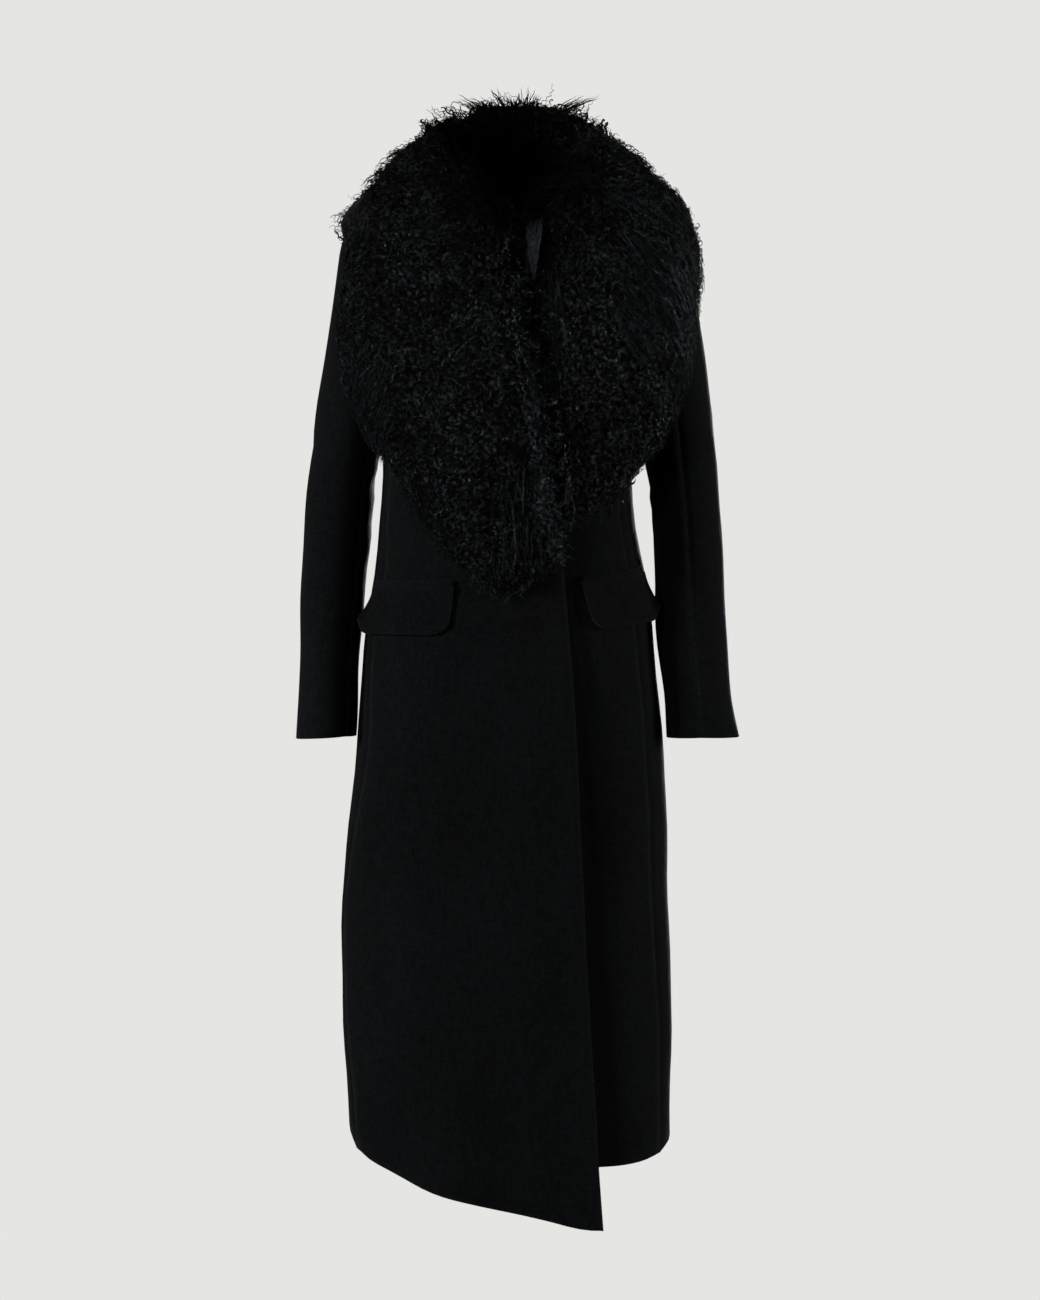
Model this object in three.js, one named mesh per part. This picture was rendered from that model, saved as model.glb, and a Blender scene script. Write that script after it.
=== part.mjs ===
// Long wool wrap coat with a fur shawl collar, in the hollow form of being worn.
// Millimetres, +Z up, the fronts face -Y. Right and left are the wearer's: right is -X.
// The origin is between the shoulders at the neck point, where the wearer carries the coat.
import * as THREE from "three";

// Driving dimensions.
const CLOTH = 2.3; // double-faced wool
const FLAP_CLOTH = 3.6; // pocket flap, two layers pressed together
const SEAM_GAP = 0.3; // between pieces that are sewn edge to edge
const LAYER_GAP = 0.7; // between the two fronts where they lie on each other
const LAP_BLEND = 34; // width over which the under front comes up to its own side
const EDGE_LIFT = 15; // how far the over front stands off at the hem corner
const EDGE_LIFT_WIDTH = 95;
const SEAM_IN = 21; // front seam, in from the side line
const BACK_SEAM = 131; // angle of the seam between side and back
const NECK_Z = -3;
const STAND_TOP = 36;
const SOFT_SQUARE = 0.89; // 1 is an ellipse, less is squarer
const COLLAR_LIFT = 1.5; // between the cloth and the skin of the fur, the least on its flat stretches
const TRIM_LIFT = 0.6; // between a panel and the flap or jet on it
const FUR_EDGE = 6; // pile left at the rim of a fur piece

const COAT_BLACK = 0x0e0e11;
const FUR_BLACK = 0x0b0b0e;

// A table is a list of rows under named columns, read with a smooth curve through its rows.
function table(columns, rows) {
  return rows.map((row) => Object.fromEntries(columns.map((c, i) => [c, row[i]])));
}

function slope(rows, i, by, column) {
  const a = rows[Math.max(i - 1, 0)];
  const b = rows[Math.min(i + 1, rows.length - 1)];
  return (b[column] - a[column]) / (b[by] - a[by]);
}

function read(rows, by, column, at) {
  const last = rows.length - 1;
  if (at <= rows[0][by]) return rows[0][column];
  if (at >= rows[last][by]) return rows[last][column];
  const i = rows.findIndex((row) => row[by] > at) - 1;
  const width = rows[i + 1][by] - rows[i][by];
  const t = (at - rows[i][by]) / width;
  const m0 = slope(rows, i, by, column) * width;
  const m1 = slope(rows, i + 1, by, column) * width;
  const t2 = t * t;
  const t3 = t2 * t;
  return (
    (2 * t3 - 3 * t2 + 1) * rows[i][column] +
    (t3 - 2 * t2 + t) * m0 +
    (3 * t2 - 2 * t3) * rows[i + 1][column] +
    (t3 - t2) * m1
  );
}

// Level sections of the coat: half widths to each side, depths to front and back, and how much
// wider the collar lies there, where it bridges the sleeve heads.
const SECTIONS = table(
  ["z", "right", "left", "front", "back", "bridge"],
  [
    [-1230, 186, 183, 134, 150, 0],
    [-1070, 191, 185, 134, 149, 0],
    [-950, 198, 184, 132, 147, 0],
    [-840, 197, 180, 129, 144, 0],
    [-724, 186, 176, 124, 141, 0],
    [-650, 178, 172, 120, 139, 0],
    [-540, 171, 160, 115, 133, 0],
    [-470, 161, 154, 112, 120, 0],
    [-400, 152, 139, 110, 107, 0],
    [-345, 149, 137, 113, 103, 34],
    [-290, 150, 142, 120, 106, 68],
    [-240, 154, 150, 126, 112, 72],
    [-190, 162, 160, 126, 118, 64],
    [-140, 172, 173, 120, 121, 50],
    [-100, 182, 184, 110, 119, 34],
    [-75, 187, 190, 99, 113, 18],
    [-58, 185, 188, 88, 104, 9],
    [-46, 170, 173, 79, 94, 6],
    [-32, 141, 144, 70, 84, 3],
    [-18, 109, 112, 62, 74, 1],
    [-8, 86, 89, 56, 66, 0],
    [-2, 75, 78, 52, 60, 0],
    [8, 72, 75, 50, 57, 0],
    [40, 69, 72, 47, 55, 0],
  ],
);

// Soft folds that run down the skirt and across the waist: place round the coat in degrees,
// width in degrees, depth in millimetres, out when positive, and the heights that they fade between.
const FOLDS = table(
  ["at", "wide", "deep", "top", "foot"],
  [
    [-38, 13, -4, -760, -1180],
    [-62, 11, 5, -820, -1150],
    [20, 12, -3, -700, -1200],
    [62, 10, 4, -760, -1150],
    [88, 12, -5, -700, -1150],
    [124, 14, 6, -640, -1150],
    [150, 12, -7, -620, -1150],
    [168, 9, 5, -700, -1150],
    [-172, 9, 5, -680, -1150],
    [-152, 12, -6, -620, -1150],
    [-126, 13, 6, -660, -1150],
    [-92, 12, -4, -720, -1150],
  ],
);

const rad = THREE.MathUtils.degToRad;
const lerp = THREE.MathUtils.lerp;
const smoothstep = THREE.MathUtils.smoothstep;
const signedPower = (v, e) => Math.sign(v) * Math.abs(v) ** e;

function turnBetween(a, b) {
  return ((a - b + 540) % 360) - 180;
}

function foldDepth(angle, z) {
  let depth = 0;
  for (const fold of FOLDS) {
    const across = turnBetween(angle, fold.at) / fold.wide;
    const along = smoothstep(-z, -fold.top, -fold.foot);
    depth += fold.deep * along * Math.exp(-across * across);
  }
  return depth;
}

// A point of the coat's outer form. The angle is 0 at the middle of the front, 90 at the left side.
function form(angle, z, bridge = 0) {
  const s = Math.sin(rad(angle));
  const c = Math.cos(rad(angle));
  const side = read(SECTIONS, "z", s < 0 ? "right" : "left", z);
  const half = side + bridge * read(SECTIONS, "z", "bridge", z);
  const deep = read(SECTIONS, "z", c > 0 ? "front" : "back", z);
  const fold = bridge ? 0 : foldDepth(angle, z);
  return new THREE.Vector3(
    (half + fold) * signedPower(s, SOFT_SQUARE),
    -(deep + fold) * signedPower(c, SOFT_SQUARE),
    z,
  );
}

function formNormal(angle, z, bridge = 0) {
  const along = form(angle + 0.4, z, bridge).sub(form(angle - 0.4, z, bridge));
  const up = form(angle, z + 1.5, bridge).sub(form(angle, z - 1.5, bridge));
  return along.cross(up).normalize();
}

function onCoat(angle, z, out = 0, bridge = 0) {
  return form(angle, z, bridge).addScaledVector(formNormal(angle, z, bridge), out);
}

// The angle at which the front of the form is x to the side of the middle.
function angleAt(x, z, bridge = 0) {
  const side = read(SECTIONS, "z", x < 0 ? "right" : "left", z);
  const half = side + bridge * read(SECTIONS, "z", "bridge", z);
  const share = Math.min(Math.abs(x) / half, 1) ** (1 / SOFT_SQUARE);
  return Math.sign(x) * THREE.MathUtils.radToDeg(Math.asin(share));
}

// Moves an angle round the form by a length.
function round(angle, z, length) {
  const step = form(angle + 0.5, z).distanceTo(form(angle - 0.5, z));
  return angle + length / step;
}

// A closed wall between two grids of points, each called as grid(u, v) with u and v from 0 to 1.
function wall(outer, inner, columns, rows) {
  const points = [];
  const index = [];
  const width = columns + 1;
  const layer = width * (rows + 1);
  for (const grid of [outer, inner])
    for (let j = 0; j <= rows; j++)
      for (let i = 0; i <= columns; i++) points.push(...grid(i / columns, j / rows).toArray());
  const quad = (a, b, c, d) => index.push(a, b, c, a, c, d);
  const at = (i, j, side = 0) => side * layer + j * width + i;
  for (let j = 0; j < rows; j++)
    for (let i = 0; i < columns; i++) {
      quad(at(i, j), at(i + 1, j), at(i + 1, j + 1), at(i, j + 1));
      quad(at(i, j, 1), at(i, j + 1, 1), at(i + 1, j + 1, 1), at(i + 1, j, 1));
    }
  for (let i = 0; i < columns; i++) {
    quad(at(i + 1, 0), at(i, 0), at(i, 0, 1), at(i + 1, 0, 1));
    quad(at(i, rows), at(i + 1, rows), at(i + 1, rows, 1), at(i, rows, 1));
  }
  for (let j = 0; j < rows; j++) {
    quad(at(0, j), at(0, j + 1), at(0, j + 1, 1), at(0, j, 1));
    quad(at(columns, j + 1), at(columns, j), at(columns, j, 1), at(columns, j + 1, 1));
  }
  if (volume(points, index) < 0) index.reverse();
  const geometry = new THREE.BufferGeometry();
  geometry.setAttribute("position", new THREE.Float32BufferAttribute(points, 3));
  geometry.setIndex(index);
  geometry.computeVertexNormals();
  return geometry;
}

function volume(points, index) {
  const corner = (n) => new THREE.Vector3().fromArray(points, 3 * index[n]);
  let sum = 0;
  for (let n = 0; n < index.length; n += 3) sum += corner(n).dot(corner(n + 1).cross(corner(n + 2)));
  return sum / 6;
}

const coat = new THREE.Group();
coat.name = "wrap_coat";

function add(name, geometry, color, roughness) {
  const material = new THREE.MeshStandardMaterial({ color, roughness, metalness: 0 });
  const mesh = new THREE.Mesh(geometry, material);
  mesh.name = name;
  coat.add(mesh);
}

const addCloth = (name, geometry) => add(name, geometry, COAT_BLACK, 0.92);
const addFur = (name, geometry) => add(name, geometry, FUR_BLACK, 0.8);

// Edge of the over front, which is also the fold of its lapel above the waist. The under front
// mirrors it.
const FRONT_EDGE = table(
  ["z", "x"],
  [
    [-1197, 97],
    [-1024, 87],
    [-805, 76],
    [-620, 69],
    [-448, 56],
    [-318, 39],
    [-195, 25],
    [-92, 10],
    [-45, -14],
    [-20, -40],
    [-3, -60],
  ],
);
const frontEdge = (z) => read(FRONT_EDGE, "z", "x", z);

// Hems by place round the coat in degrees.
const OVER_HEM = table(
  ["at", "z"],
  [
    [-95, -1083],
    [-80, -1094],
    [-62, -1118],
    [-43, -1139],
    [-27, -1157],
    [-10, -1170],
    [3, -1180],
    [16, -1192],
    [32, -1198],
  ],
);
const UNDER_HEM = table(
  ["at", "z"],
  [
    [-40, -1131],
    [30, -1130],
    [48, -1126],
    [66, -1116],
    [90, -1097],
  ],
);
const BACK_HEM_Z = -1090;
const HEM_Z = -1120; // height at which the hem's angles are taken
const SIDE_HEM = table(
  ["at", "z"],
  [
    [60, -1119],
    [75, -1107],
    [90, -1097],
    [131, BACK_HEM_Z],
  ],
);

// Armholes: an oval on the side of the form. Below it a side panel fills between two seams, which
// meet the oval at one height.
const ARMHOLE = { mid: -150, half: 92, front: 33, back: 27 };
const FRONT_CORNER = 69; // angle where the front seam enters the armhole
const CORNER_SWING = (90 - FRONT_CORNER) / ARMHOLE.front;
const BACK_CORNER = 90 + ARMHOLE.back * CORNER_SWING;
const YOKE_Z = ARMHOLE.mid - ARMHOLE.half * Math.sqrt(1 - CORNER_SWING ** 2);
const SEAM_TURN_Z = -480; // above this the seams swing in to the armhole

function armholeSwing(z) {
  const level = THREE.MathUtils.clamp((z - ARMHOLE.mid) / ARMHOLE.half, -1, 1);
  return Math.sqrt(1 - level * level);
}

function frontSeam(side, z) {
  const half = read(SECTIONS, "z", side < 0 ? "right" : "left", z);
  const straight = angleAt(half - SEAM_IN, z);
  return lerp(straight, FRONT_CORNER, smoothstep(z, SEAM_TURN_Z, YOKE_Z));
}

const backSeam = (z) => lerp(BACK_SEAM, BACK_CORNER, smoothstep(z, SEAM_TURN_Z, YOKE_Z));

// Seam, then the edge of the armhole, then the shoulder seam.
function frontSideEdge(side, z) {
  if (z <= YOKE_Z) return side * frontSeam(side, z);
  return side * (90 - ARMHOLE.front * armholeSwing(z));
}

function backSideEdge(side, z) {
  if (z <= YOKE_Z) return side * backSeam(z);
  return side * (90 + ARMHOLE.back * armholeSwing(z));
}

// The foot of the armhole, from the front seam at u = 0 to the back seam at u = 1.
function armholeFoot(angle) {
  const reach = angle < 90 ? ARMHOLE.front : ARMHOLE.back;
  const swing = Math.min(Math.abs(angle - 90) / reach, 1);
  return ARMHOLE.mid - ARMHOLE.half * Math.sqrt(1 - swing * swing) - SEAM_GAP;
}

// Rows of a body panel crowd together towards the shoulder, where the form turns.
const ROWS = 26;
const SKIRT_ROWS = 15;
const SHOULDER_SHARE = 1 - SKIRT_ROWS / ROWS;
function panelHeight(hem, v) {
  const skirt = 1 - SHOULDER_SHARE;
  if (v < skirt) return lerp(hem, YOKE_Z, v / skirt);
  const t = (v - skirt) / SHOULDER_SHARE;
  return lerp(YOKE_Z, NECK_Z, t * (1.75 - 0.75 * t));
}

// A body panel between two edges that are functions of height, with its hem a function of angle.
function bodyPanel({ from, to, hem, out = () => 0, columns }) {
  const turn = Math.sign(to(HEM_Z) - from(HEM_Z));
  const place = (u, v) => {
    const hemAngle = lerp(from(HEM_Z), to(HEM_Z), u);
    const z = panelHeight(hem(hemAngle), v);
    const start = round(from(z), z, (turn * SEAM_GAP) / 2);
    const end = round(to(z), z, (-turn * SEAM_GAP) / 2);
    return [lerp(start, end, u), z];
  };
  const outer = (u, v) => {
    const [a, z] = place(u, v);
    return onCoat(a, z, out(a, z));
  };
  const inner = (u, v) => {
    const [a, z] = place(u, v);
    return onCoat(a, z, out(a, z) - CLOTH);
  };
  return wall(outer, inner, columns, ROWS);
}

// The over front stands off the under front near its edge, more and more towards the hem.
function overLift(angle, z) {
  const fromEdge = (frontEdge(z) - form(angle, z).x) / EDGE_LIFT_WIDTH;
  const down = smoothstep(-z, 470, 1197);
  return EDGE_LIFT * down * (1 - smoothstep(fromEdge, 0, 1));
}

// The under front lies inside the over front, and comes up to the form beyond its edge.
function underDrop(angle, z) {
  const past = form(angle, z).x - frontEdge(z) - 4;
  return -(CLOTH + LAYER_GAP) * (1 - smoothstep(past, 0, LAP_BLEND));
}

function addFronts() {
  const over = {
    from: (z) => frontSideEdge(-1, z),
    to: (z) => angleAt(frontEdge(z), z),
    hem: (a) => read(OVER_HEM, "at", "z", a),
    out: overLift,
    columns: 11,
  };
  const under = {
    from: (z) => angleAt(-frontEdge(z), z),
    to: (z) => frontSideEdge(1, z),
    hem: (a) => read(UNDER_HEM, "at", "z", a),
    out: underDrop,
    columns: 11,
  };
  addCloth("front_right_over", bodyPanel(over));
  addCloth("front_left_under", bodyPanel(under));
}

function addBacks() {
  for (const [name, side] of [
    ["back_right", -1],
    ["back_left", 1],
  ])
    addCloth(
      name,
      bodyPanel({
        from: (z) => backSideEdge(side, z),
        to: () => side * 180,
        hem: () => BACK_HEM_Z,
        columns: 8,
      }),
    );
}

// Side panels reach from the hem to the foot of the armhole.
function addSides() {
  for (const [name, side, hems] of [
    ["side_right", -1, OVER_HEM],
    ["side_left", 1, SIDE_HEM],
  ]) {
    const place = (u, v) => {
      const hemAt = lerp(frontSeam(side, HEM_Z), BACK_SEAM, u);
      const hem = side < 0 && hemAt > 95 ? BACK_HEM_Z : read(hems, "at", "z", side * hemAt);
      const foot = armholeFoot(lerp(FRONT_CORNER, BACK_CORNER, u));
      const z = lerp(hem, foot, v);
      const shift = lerp(SEAM_GAP / 2, -SEAM_GAP / 2, u);
      return [side * round(lerp(frontSeam(side, z), backSeam(z), u), z, shift), z];
    };
    const outer = (u, v) => onCoat(...place(u, v));
    const inner = (u, v) => onCoat(...place(u, v), -CLOTH);
    addCloth(name, wall(outer, inner, 6, SKIRT_ROWS));
  }
}

// Sleeves are two-piece tubes. Each row is a ring below the armhole: its outermost and innermost
// points seen from the front, the middle of its depth and half of that depth.
const SLEEVE_COLUMNS = ["outX", "outZ", "inX", "inZ", "midY", "deep"];
const SLEEVES = [
  {
    name: "right",
    side: -1,
    frontSeam: 135,
    rings: table(SLEEVE_COLUMNS, [
      [-197, -84, -159, -250, 8, 63],
      [-203, -120, -157, -262, 9, 66],
      [-210, -170, -155.5, -280, 10, 67],
      [-218, -222, -155, -304, 10, 67],
      [-228, -285, -155.5, -335, 10, 65],
      [-236, -350, -160, -374, 8, 62],
      [-241, -420, -164.5, -428, 5, 59],
      [-244.5, -495, -170.5, -498, 3, 56],
      [-245, -555, -176.5, -556, 0, 54],
      [-245.5, -608, -178.5, -607, -3, 53],
      [-249, -653, -180.5, -650, -6, 56],
    ]),
  },
  {
    name: "left",
    side: 1,
    frontSeam: 92,
    rings: table(SLEEVE_COLUMNS, [
      [200, -84, 156, -250, 8, 63],
      [207, -120, 153, -262, 9, 66],
      [214.5, -170, 151, -282, 10, 67],
      [222.5, -222, 150, -306, 10, 67],
      [229, -285, 152, -335, 10, 65],
      [236, -350, 156, -374, 8, 62],
      [240, -420, 161.5, -428, 5, 59],
      [244, -495, 163.5, -498, 3, 56],
      [247.5, -555, 167.5, -556, 0, 54],
      [252, -608, 174, -607, -3, 53],
      [259, -651, 176.5, -652, -6, 56],
    ]),
  },
];
const BACK_SLEEVE_SEAM = -105;
const SLEEVE_ROWS = 20;
const SLEEVE_SQUARE = 0.94;
const SLEEVE_SEAT = 1.3; // the sleeve's rim lies this far outside the armhole's edge

// A point of the armhole's edge. The angle is 0 at the shoulder and 90 at the front.
function armholePoint(side, phi, out = 0) {
  const c = Math.cos(rad(phi));
  const s = Math.sin(rad(phi));
  const swing = s > 0 ? ARMHOLE.front * s : ARMHOLE.back * s;
  return onCoat(side * (90 - swing), ARMHOLE.mid + ARMHOLE.half * c, out);
}

function ringPoint(ring, phi) {
  const across = signedPower(Math.cos(rad(phi)), SLEEVE_SQUARE);
  const front = signedPower(Math.sin(rad(phi)), SLEEVE_SQUARE);
  return new THREE.Vector3(
    lerp(ring.inX, ring.outX, (across + 1) / 2),
    ring.midY - ring.deep * front,
    lerp(ring.inZ, ring.outZ, (across + 1) / 2),
  );
}

function sleevePoint(sleeve, phi, t) {
  const line = [armholePoint(sleeve.side, phi, SLEEVE_SEAT)];
  for (const ring of sleeve.rings) line.push(ringPoint(ring, phi));
  return new THREE.CatmullRomCurve3(line, false, "centripetal").getPoint(t);
}

function sleeveNormal(sleeve, phi, t) {
  const around = sleevePoint(sleeve, phi + 2, t).sub(sleevePoint(sleeve, phi - 2, t));
  const low = sleevePoint(sleeve, phi, Math.min(t + 0.01, 1));
  const down = low.sub(sleevePoint(sleeve, phi, Math.max(t - 0.01, 0)));
  return around.cross(down).normalize().multiplyScalar(sleeve.side);
}

// At the armhole the rim lies flat on the coat, half of its thickness to each side of the edge.
function sleeveRim(sleeve, phi, half) {
  const edge = armholePoint(sleeve.side, phi, SLEEVE_SEAT);
  const middle = armholePoint(sleeve.side, 0).lerp(armholePoint(sleeve.side, 180), 0.5);
  const normal = armholePoint(sleeve.side, phi, 1).sub(armholePoint(sleeve.side, phi));
  const away = edge.clone().sub(middle);
  away.addScaledVector(normal, -away.dot(normal)).normalize();
  return edge.addScaledVector(away, half);
}

function addSleeves() {
  for (const sleeve of SLEEVES)
    for (const [part, from, to, columns] of [
      ["upper", BACK_SLEEVE_SEAM, sleeve.frontSeam, 9],
      ["under", sleeve.frontSeam, 360 + BACK_SLEEVE_SEAM, 6],
    ]) {
      const gap = 0.62; // degrees at each seam
      const phiAt = (u) => lerp(from + gap, to - gap, u);
      const outer = (u, v) =>
        v ? sleevePoint(sleeve, phiAt(u), v) : sleeveRim(sleeve, phiAt(u), CLOTH / 2);
      const inner = (u, v) => {
        if (!v) return sleeveRim(sleeve, phiAt(u), -CLOTH / 2);
        const point = sleevePoint(sleeve, phiAt(u), v);
        return point.addScaledVector(sleeveNormal(sleeve, phiAt(u), v), -CLOTH);
      };
      addCloth(`sleeve_${part}_${sleeve.name}`, wall(outer, inner, columns, SLEEVE_ROWS));
    }
}

// Pocket flaps hang from a piped opening and stand off the hips towards their outer corners.
const POCKETS = [
  { name: "right", side: -1, nearX: 63.5, farAt: 73, nearZ: -481, farZ: -479, slant: 6, lift: 13 },
  { name: "left", side: 1, nearX: 76, farAt: 73, nearZ: -476, farZ: -463, slant: 15, lift: 13 },
];
const JET = { tall: 6, thick: 2 };
const FLAP = { tall: 55, corner: 16 };

function addPockets() {
  for (const pocket of POCKETS) {
    const near = Math.abs(angleAt(pocket.side * pocket.nearX, pocket.nearZ));
    const place = (u, drop) => {
      const z = lerp(pocket.nearZ, pocket.farZ, u) - drop;
      const slant = (pocket.slant * (1 - u) * Math.max(drop, 0)) / FLAP.tall;
      return [pocket.side * round(lerp(near, pocket.farAt, u), z, slant), z];
    };
    const length = onCoat(...place(0, 0)).distanceTo(onCoat(...place(1, 0)));
    // The lower corners are quarter rounds.
    const depth = (u) => {
      const inset = FLAP.corner - Math.min(u, 1 - u) * length;
      const cut = inset > 0 ? FLAP.corner - Math.sqrt(FLAP.corner ** 2 - inset ** 2) : 0;
      return FLAP.tall - cut;
    };
    const stand = (u, v) => TRIM_LIFT + pocket.lift * v * v * (0.15 + 0.85 * u * u);
    const flap = (out) => (u, v) => onCoat(...place(ease(u), v * depth(ease(u))), stand(u, v) + out);
    addCloth(`pocket_flap_${pocket.name}`, wall(flap(FLAP_CLOTH), flap(0), 12, 6));
    const jet = (out) => (u, v) => onCoat(...place(u, -SEAM_GAP - v * JET.tall), out);
    addCloth(`pocket_jet_${pocket.name}`, wall(jet(TRIM_LIFT + JET.thick), jet(TRIM_LIFT), 10, 1));
  }
}

// Columns crowd towards both ends, where the corners are round.
const ease = (u) => 0.5 - 0.5 * Math.sin(Math.PI * (0.5 - u)) * (1.12 - 0.12 * Math.abs(2 * u - 1));

// The collar stands on the neckline on a band of cloth, and its fur lies on the collar's bed: the
// form, bridged across the sleeve heads. The pile of each section stands in one direction.
const STAND = { from: 92, to: 268, side: 20 };

function standTop(angle) {
  return lerp(STAND.side, STAND_TOP, Math.sin(rad((180 * (angle - STAND.from)) / (STAND.to - STAND.from))));
}

function addStand() {
  const band = (out) => (u, v) => {
    const angle = lerp(STAND.from, STAND.to, u);
    return onCoat(angle, lerp(NECK_Z + SEAM_GAP, standTop(angle) - 1, v), out);
  };
  addCloth("collar_stand", wall(band(0), band(-CLOTH), 12, 3));
}

// Each row is a section of a lapel: where it folds, where its fur ends, how deep its pile is and the
// share of the section over which the pile rises from the rim.
const LAPEL_COLUMNS = ["rollX", "rollZ", "edgeX", "edgeZ", "pile", "rise"];
const LAPELS = [
  {
    name: "right",
    rows: table(LAPEL_COLUMNS, [
      [-90, 20, -210, -54, 58, 1.3],
      [-64, 8, -187, -98, 52, 1.15],
      [-46, -14, -195, -160, 46, 0.72],
      [-14, -45, -189, -235, 50, 0.45],
      [4, -80, -173, -290, 52, 0.38],
      [12, -120, -152, -330, 53, 0.36],
      [20, -180, -126, -362, 53, 0.36],
      [29, -250, -106, -396, 52, 0.36],
      [37, -315, -86, -428, 50, 0.36],
      [45, -375, -62, -458, 46, 0.36],
      [51, -420, -32, -480, 38, 0.36],
      [55, -443, -6, -493, 22, 0.36],
    ]),
  },
  {
    name: "left",
    rows: table(LAPEL_COLUMNS, [
      [90, 20, 210, -54, 58, 1.3],
      [66, 8, 201, -92, 52, 1.15],
      [50, -12, 206, -146, 48, 0.72],
      [34, -34, 201, -195, 50, 0.48],
      [22, -62, 195, -240, 50, 0.4],
      [17, -95, 187, -280, 50, 0.38],
      [22, -140, 171, -312, 50, 0.36],
      [28.5, -195, 152, -336, 48, 0.36],
      [35, -250, 132, -358, 45, 0.36],
      [42, -310, 112, -378, 40, 0.36],
      [50, -370, 90, -394, 32, 0.36],
      [57, -412, 72, -410, 22, 0.36],
    ]),
  },
];

// The back of the collar, by angle from the left shoulder to the right.
const FALL_COLUMNS = ["at", "rollZ", "edgeZ", "pile", "rise", "leg"];
const FALL = table(FALL_COLUMNS, [
  [90.4, 20, -54, 58, 1.3, 19],
  [104, 24, -62, 54, 1.15, 19],
  [122, 29, -92, 49, 0.8, 19],
  [142, 33, -136, 48, 0.55, 20],
  [162, 36, -168, 48, 0.4, 20],
  [180, 36, -174, 48, 0.36, 20],
  [198, 36, -168, 48, 0.4, 20],
  [218, 33, -136, 48, 0.55, 20],
  [238, 29, -92, 49, 0.8, 19],
  [256, 24, -62, 54, 1.15, 19],
  [269.6, 20, -54, 58, 1.3, 19],
]);

const FOLD_ROUND = 0.07; // share of a lapel's section that rounds off at its fold
const LOCKS = { along: 9, across: 2.5, deep: 0.09 };

// How full the pile is, from 0 at the rim to 1 past the share of the section where it rises.
const fullness = (q, share) => Math.sin((Math.PI / 2) * Math.min(q / share, 1)) ** (0.4 + 0.7 * share);

const lock = (u, q) =>
  1 + LOCKS.deep * Math.sin(2 * Math.PI * LOCKS.along * u) * Math.sin(2 * Math.PI * LOCKS.across * q + 5 * u);

const rowsAt = (rows, columns, u) => {
  const numbered = rows.map((row, i) => ({ ...row, i }));
  return Object.fromEntries(columns.map((c) => [c, read(numbered, "i", c, u * (rows.length - 1))]));
};

function addLapels() {
  for (const { name, rows } of LAPELS) {
    const bed = (u, q) => {
      const row = rowsAt(rows, LAPEL_COLUMNS, u);
      const z = lerp(row.edgeZ, row.rollZ, q);
      const edge = angleAt(row.edgeX, row.edgeZ, 1);
      const roll = angleAt(row.rollX, row.rollZ, 1);
      return [lerp(edge, roll, q), z, COLLAR_LIFT, 1];
    };
    const inner = (u, v) => onCoat(...bed(u, towardsFold(v)));
    const outer = (u, v) => {
      const q = towardsFold(v);
      const { pile, rise } = rowsAt(rows, LAPEL_COLUMNS, u);
      const full = fullness(q, rise) * fullness(1 - q, FOLD_ROUND);
      const depth = FUR_EDGE + (pile - FUR_EDGE) * full * lock(u, q);
      return inner(u, v).addScaledVector(leaning(u, bed), depth);
    };
    addFur(`lapel_fur_${name}`, wall(outer, inner, 24, 12));
  }
}

// Columns crowd towards the fold, where the pile turns under.
const towardsFold = (v) => 1 - (1 - v) ** 1.7;

// The mean direction out of a section of the bed.
function leaning(u, bed) {
  const sum = new THREE.Vector3();
  for (const q of [0.2, 0.4, 0.6, 0.8]) {
    const [angle, z] = bed(u, q);
    sum.add(formNormal(angle, z, 1));
  }
  return sum.normalize();
}

const UP = new THREE.Vector3(0, 0, 1);
const FALL_ROWS = 20;
const FALL_PART = 0.7; // share of the section outside the fold, the rest lines the neck
const LINING_PART = 1 - FALL_PART - 1 / FALL_ROWS; // below the row that crosses over the stand

function addFall() {
  const section = (u) => rowsAt(FALL, FALL_COLUMNS, u);
  const bed = (u, q) => {
    const row = section(u);
    return [row.at, lerp(row.edgeZ, row.rollZ, q), COLLAR_LIFT, 1];
  };
  const inner = (u, v) => {
    if (v <= FALL_PART) return onCoat(...bed(u, v / FALL_PART));
    const row = section(u);
    const down = THREE.MathUtils.clamp((v - FALL_PART - 1 / FALL_ROWS) / LINING_PART, 0, 1);
    return onCoat(row.at, lerp(row.rollZ, NECK_Z + 3, down), -CLOTH - COLLAR_LIFT);
  };
  const outer = (u, v) => {
    const row = section(u);
    const point = inner(u, v);
    if (v <= FALL_PART) {
      const q = v / FALL_PART;
      const way = leaning(u, bed).lerp(UP, smoothstep(q, 0.7, 1) * 0.8).normalize();
      const depth = (row.pile - FUR_EDGE) * fullness(q, row.rise) * lock(u, q);
      return point.addScaledVector(way, FUR_EDGE + depth);
    }
    const down = (v - FALL_PART) / (1 - FALL_PART);
    const into = formNormal(row.at, 10).negate();
    const way = UP.clone().lerp(into, smoothstep(down, -0.2, 0.55)).normalize();
    return point.addScaledVector(way, lerp(row.pile * 0.9, row.leg, smoothstep(down, 0, 0.6)));
  };
  addFur("collar_fur_back", wall(outer, inner, 22, FALL_ROWS));
}

addFronts();
addBacks();
addSides();
addSleeves();
addPockets();
addStand();
addLapels();
addFall();

export default coat;
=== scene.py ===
import math

import bmesh
import bpy
import numpy as np
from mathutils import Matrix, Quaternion, Vector, noise
from mathutils.bvhtree import BVHTree
from mathutils.kdtree import KDTree


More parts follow.
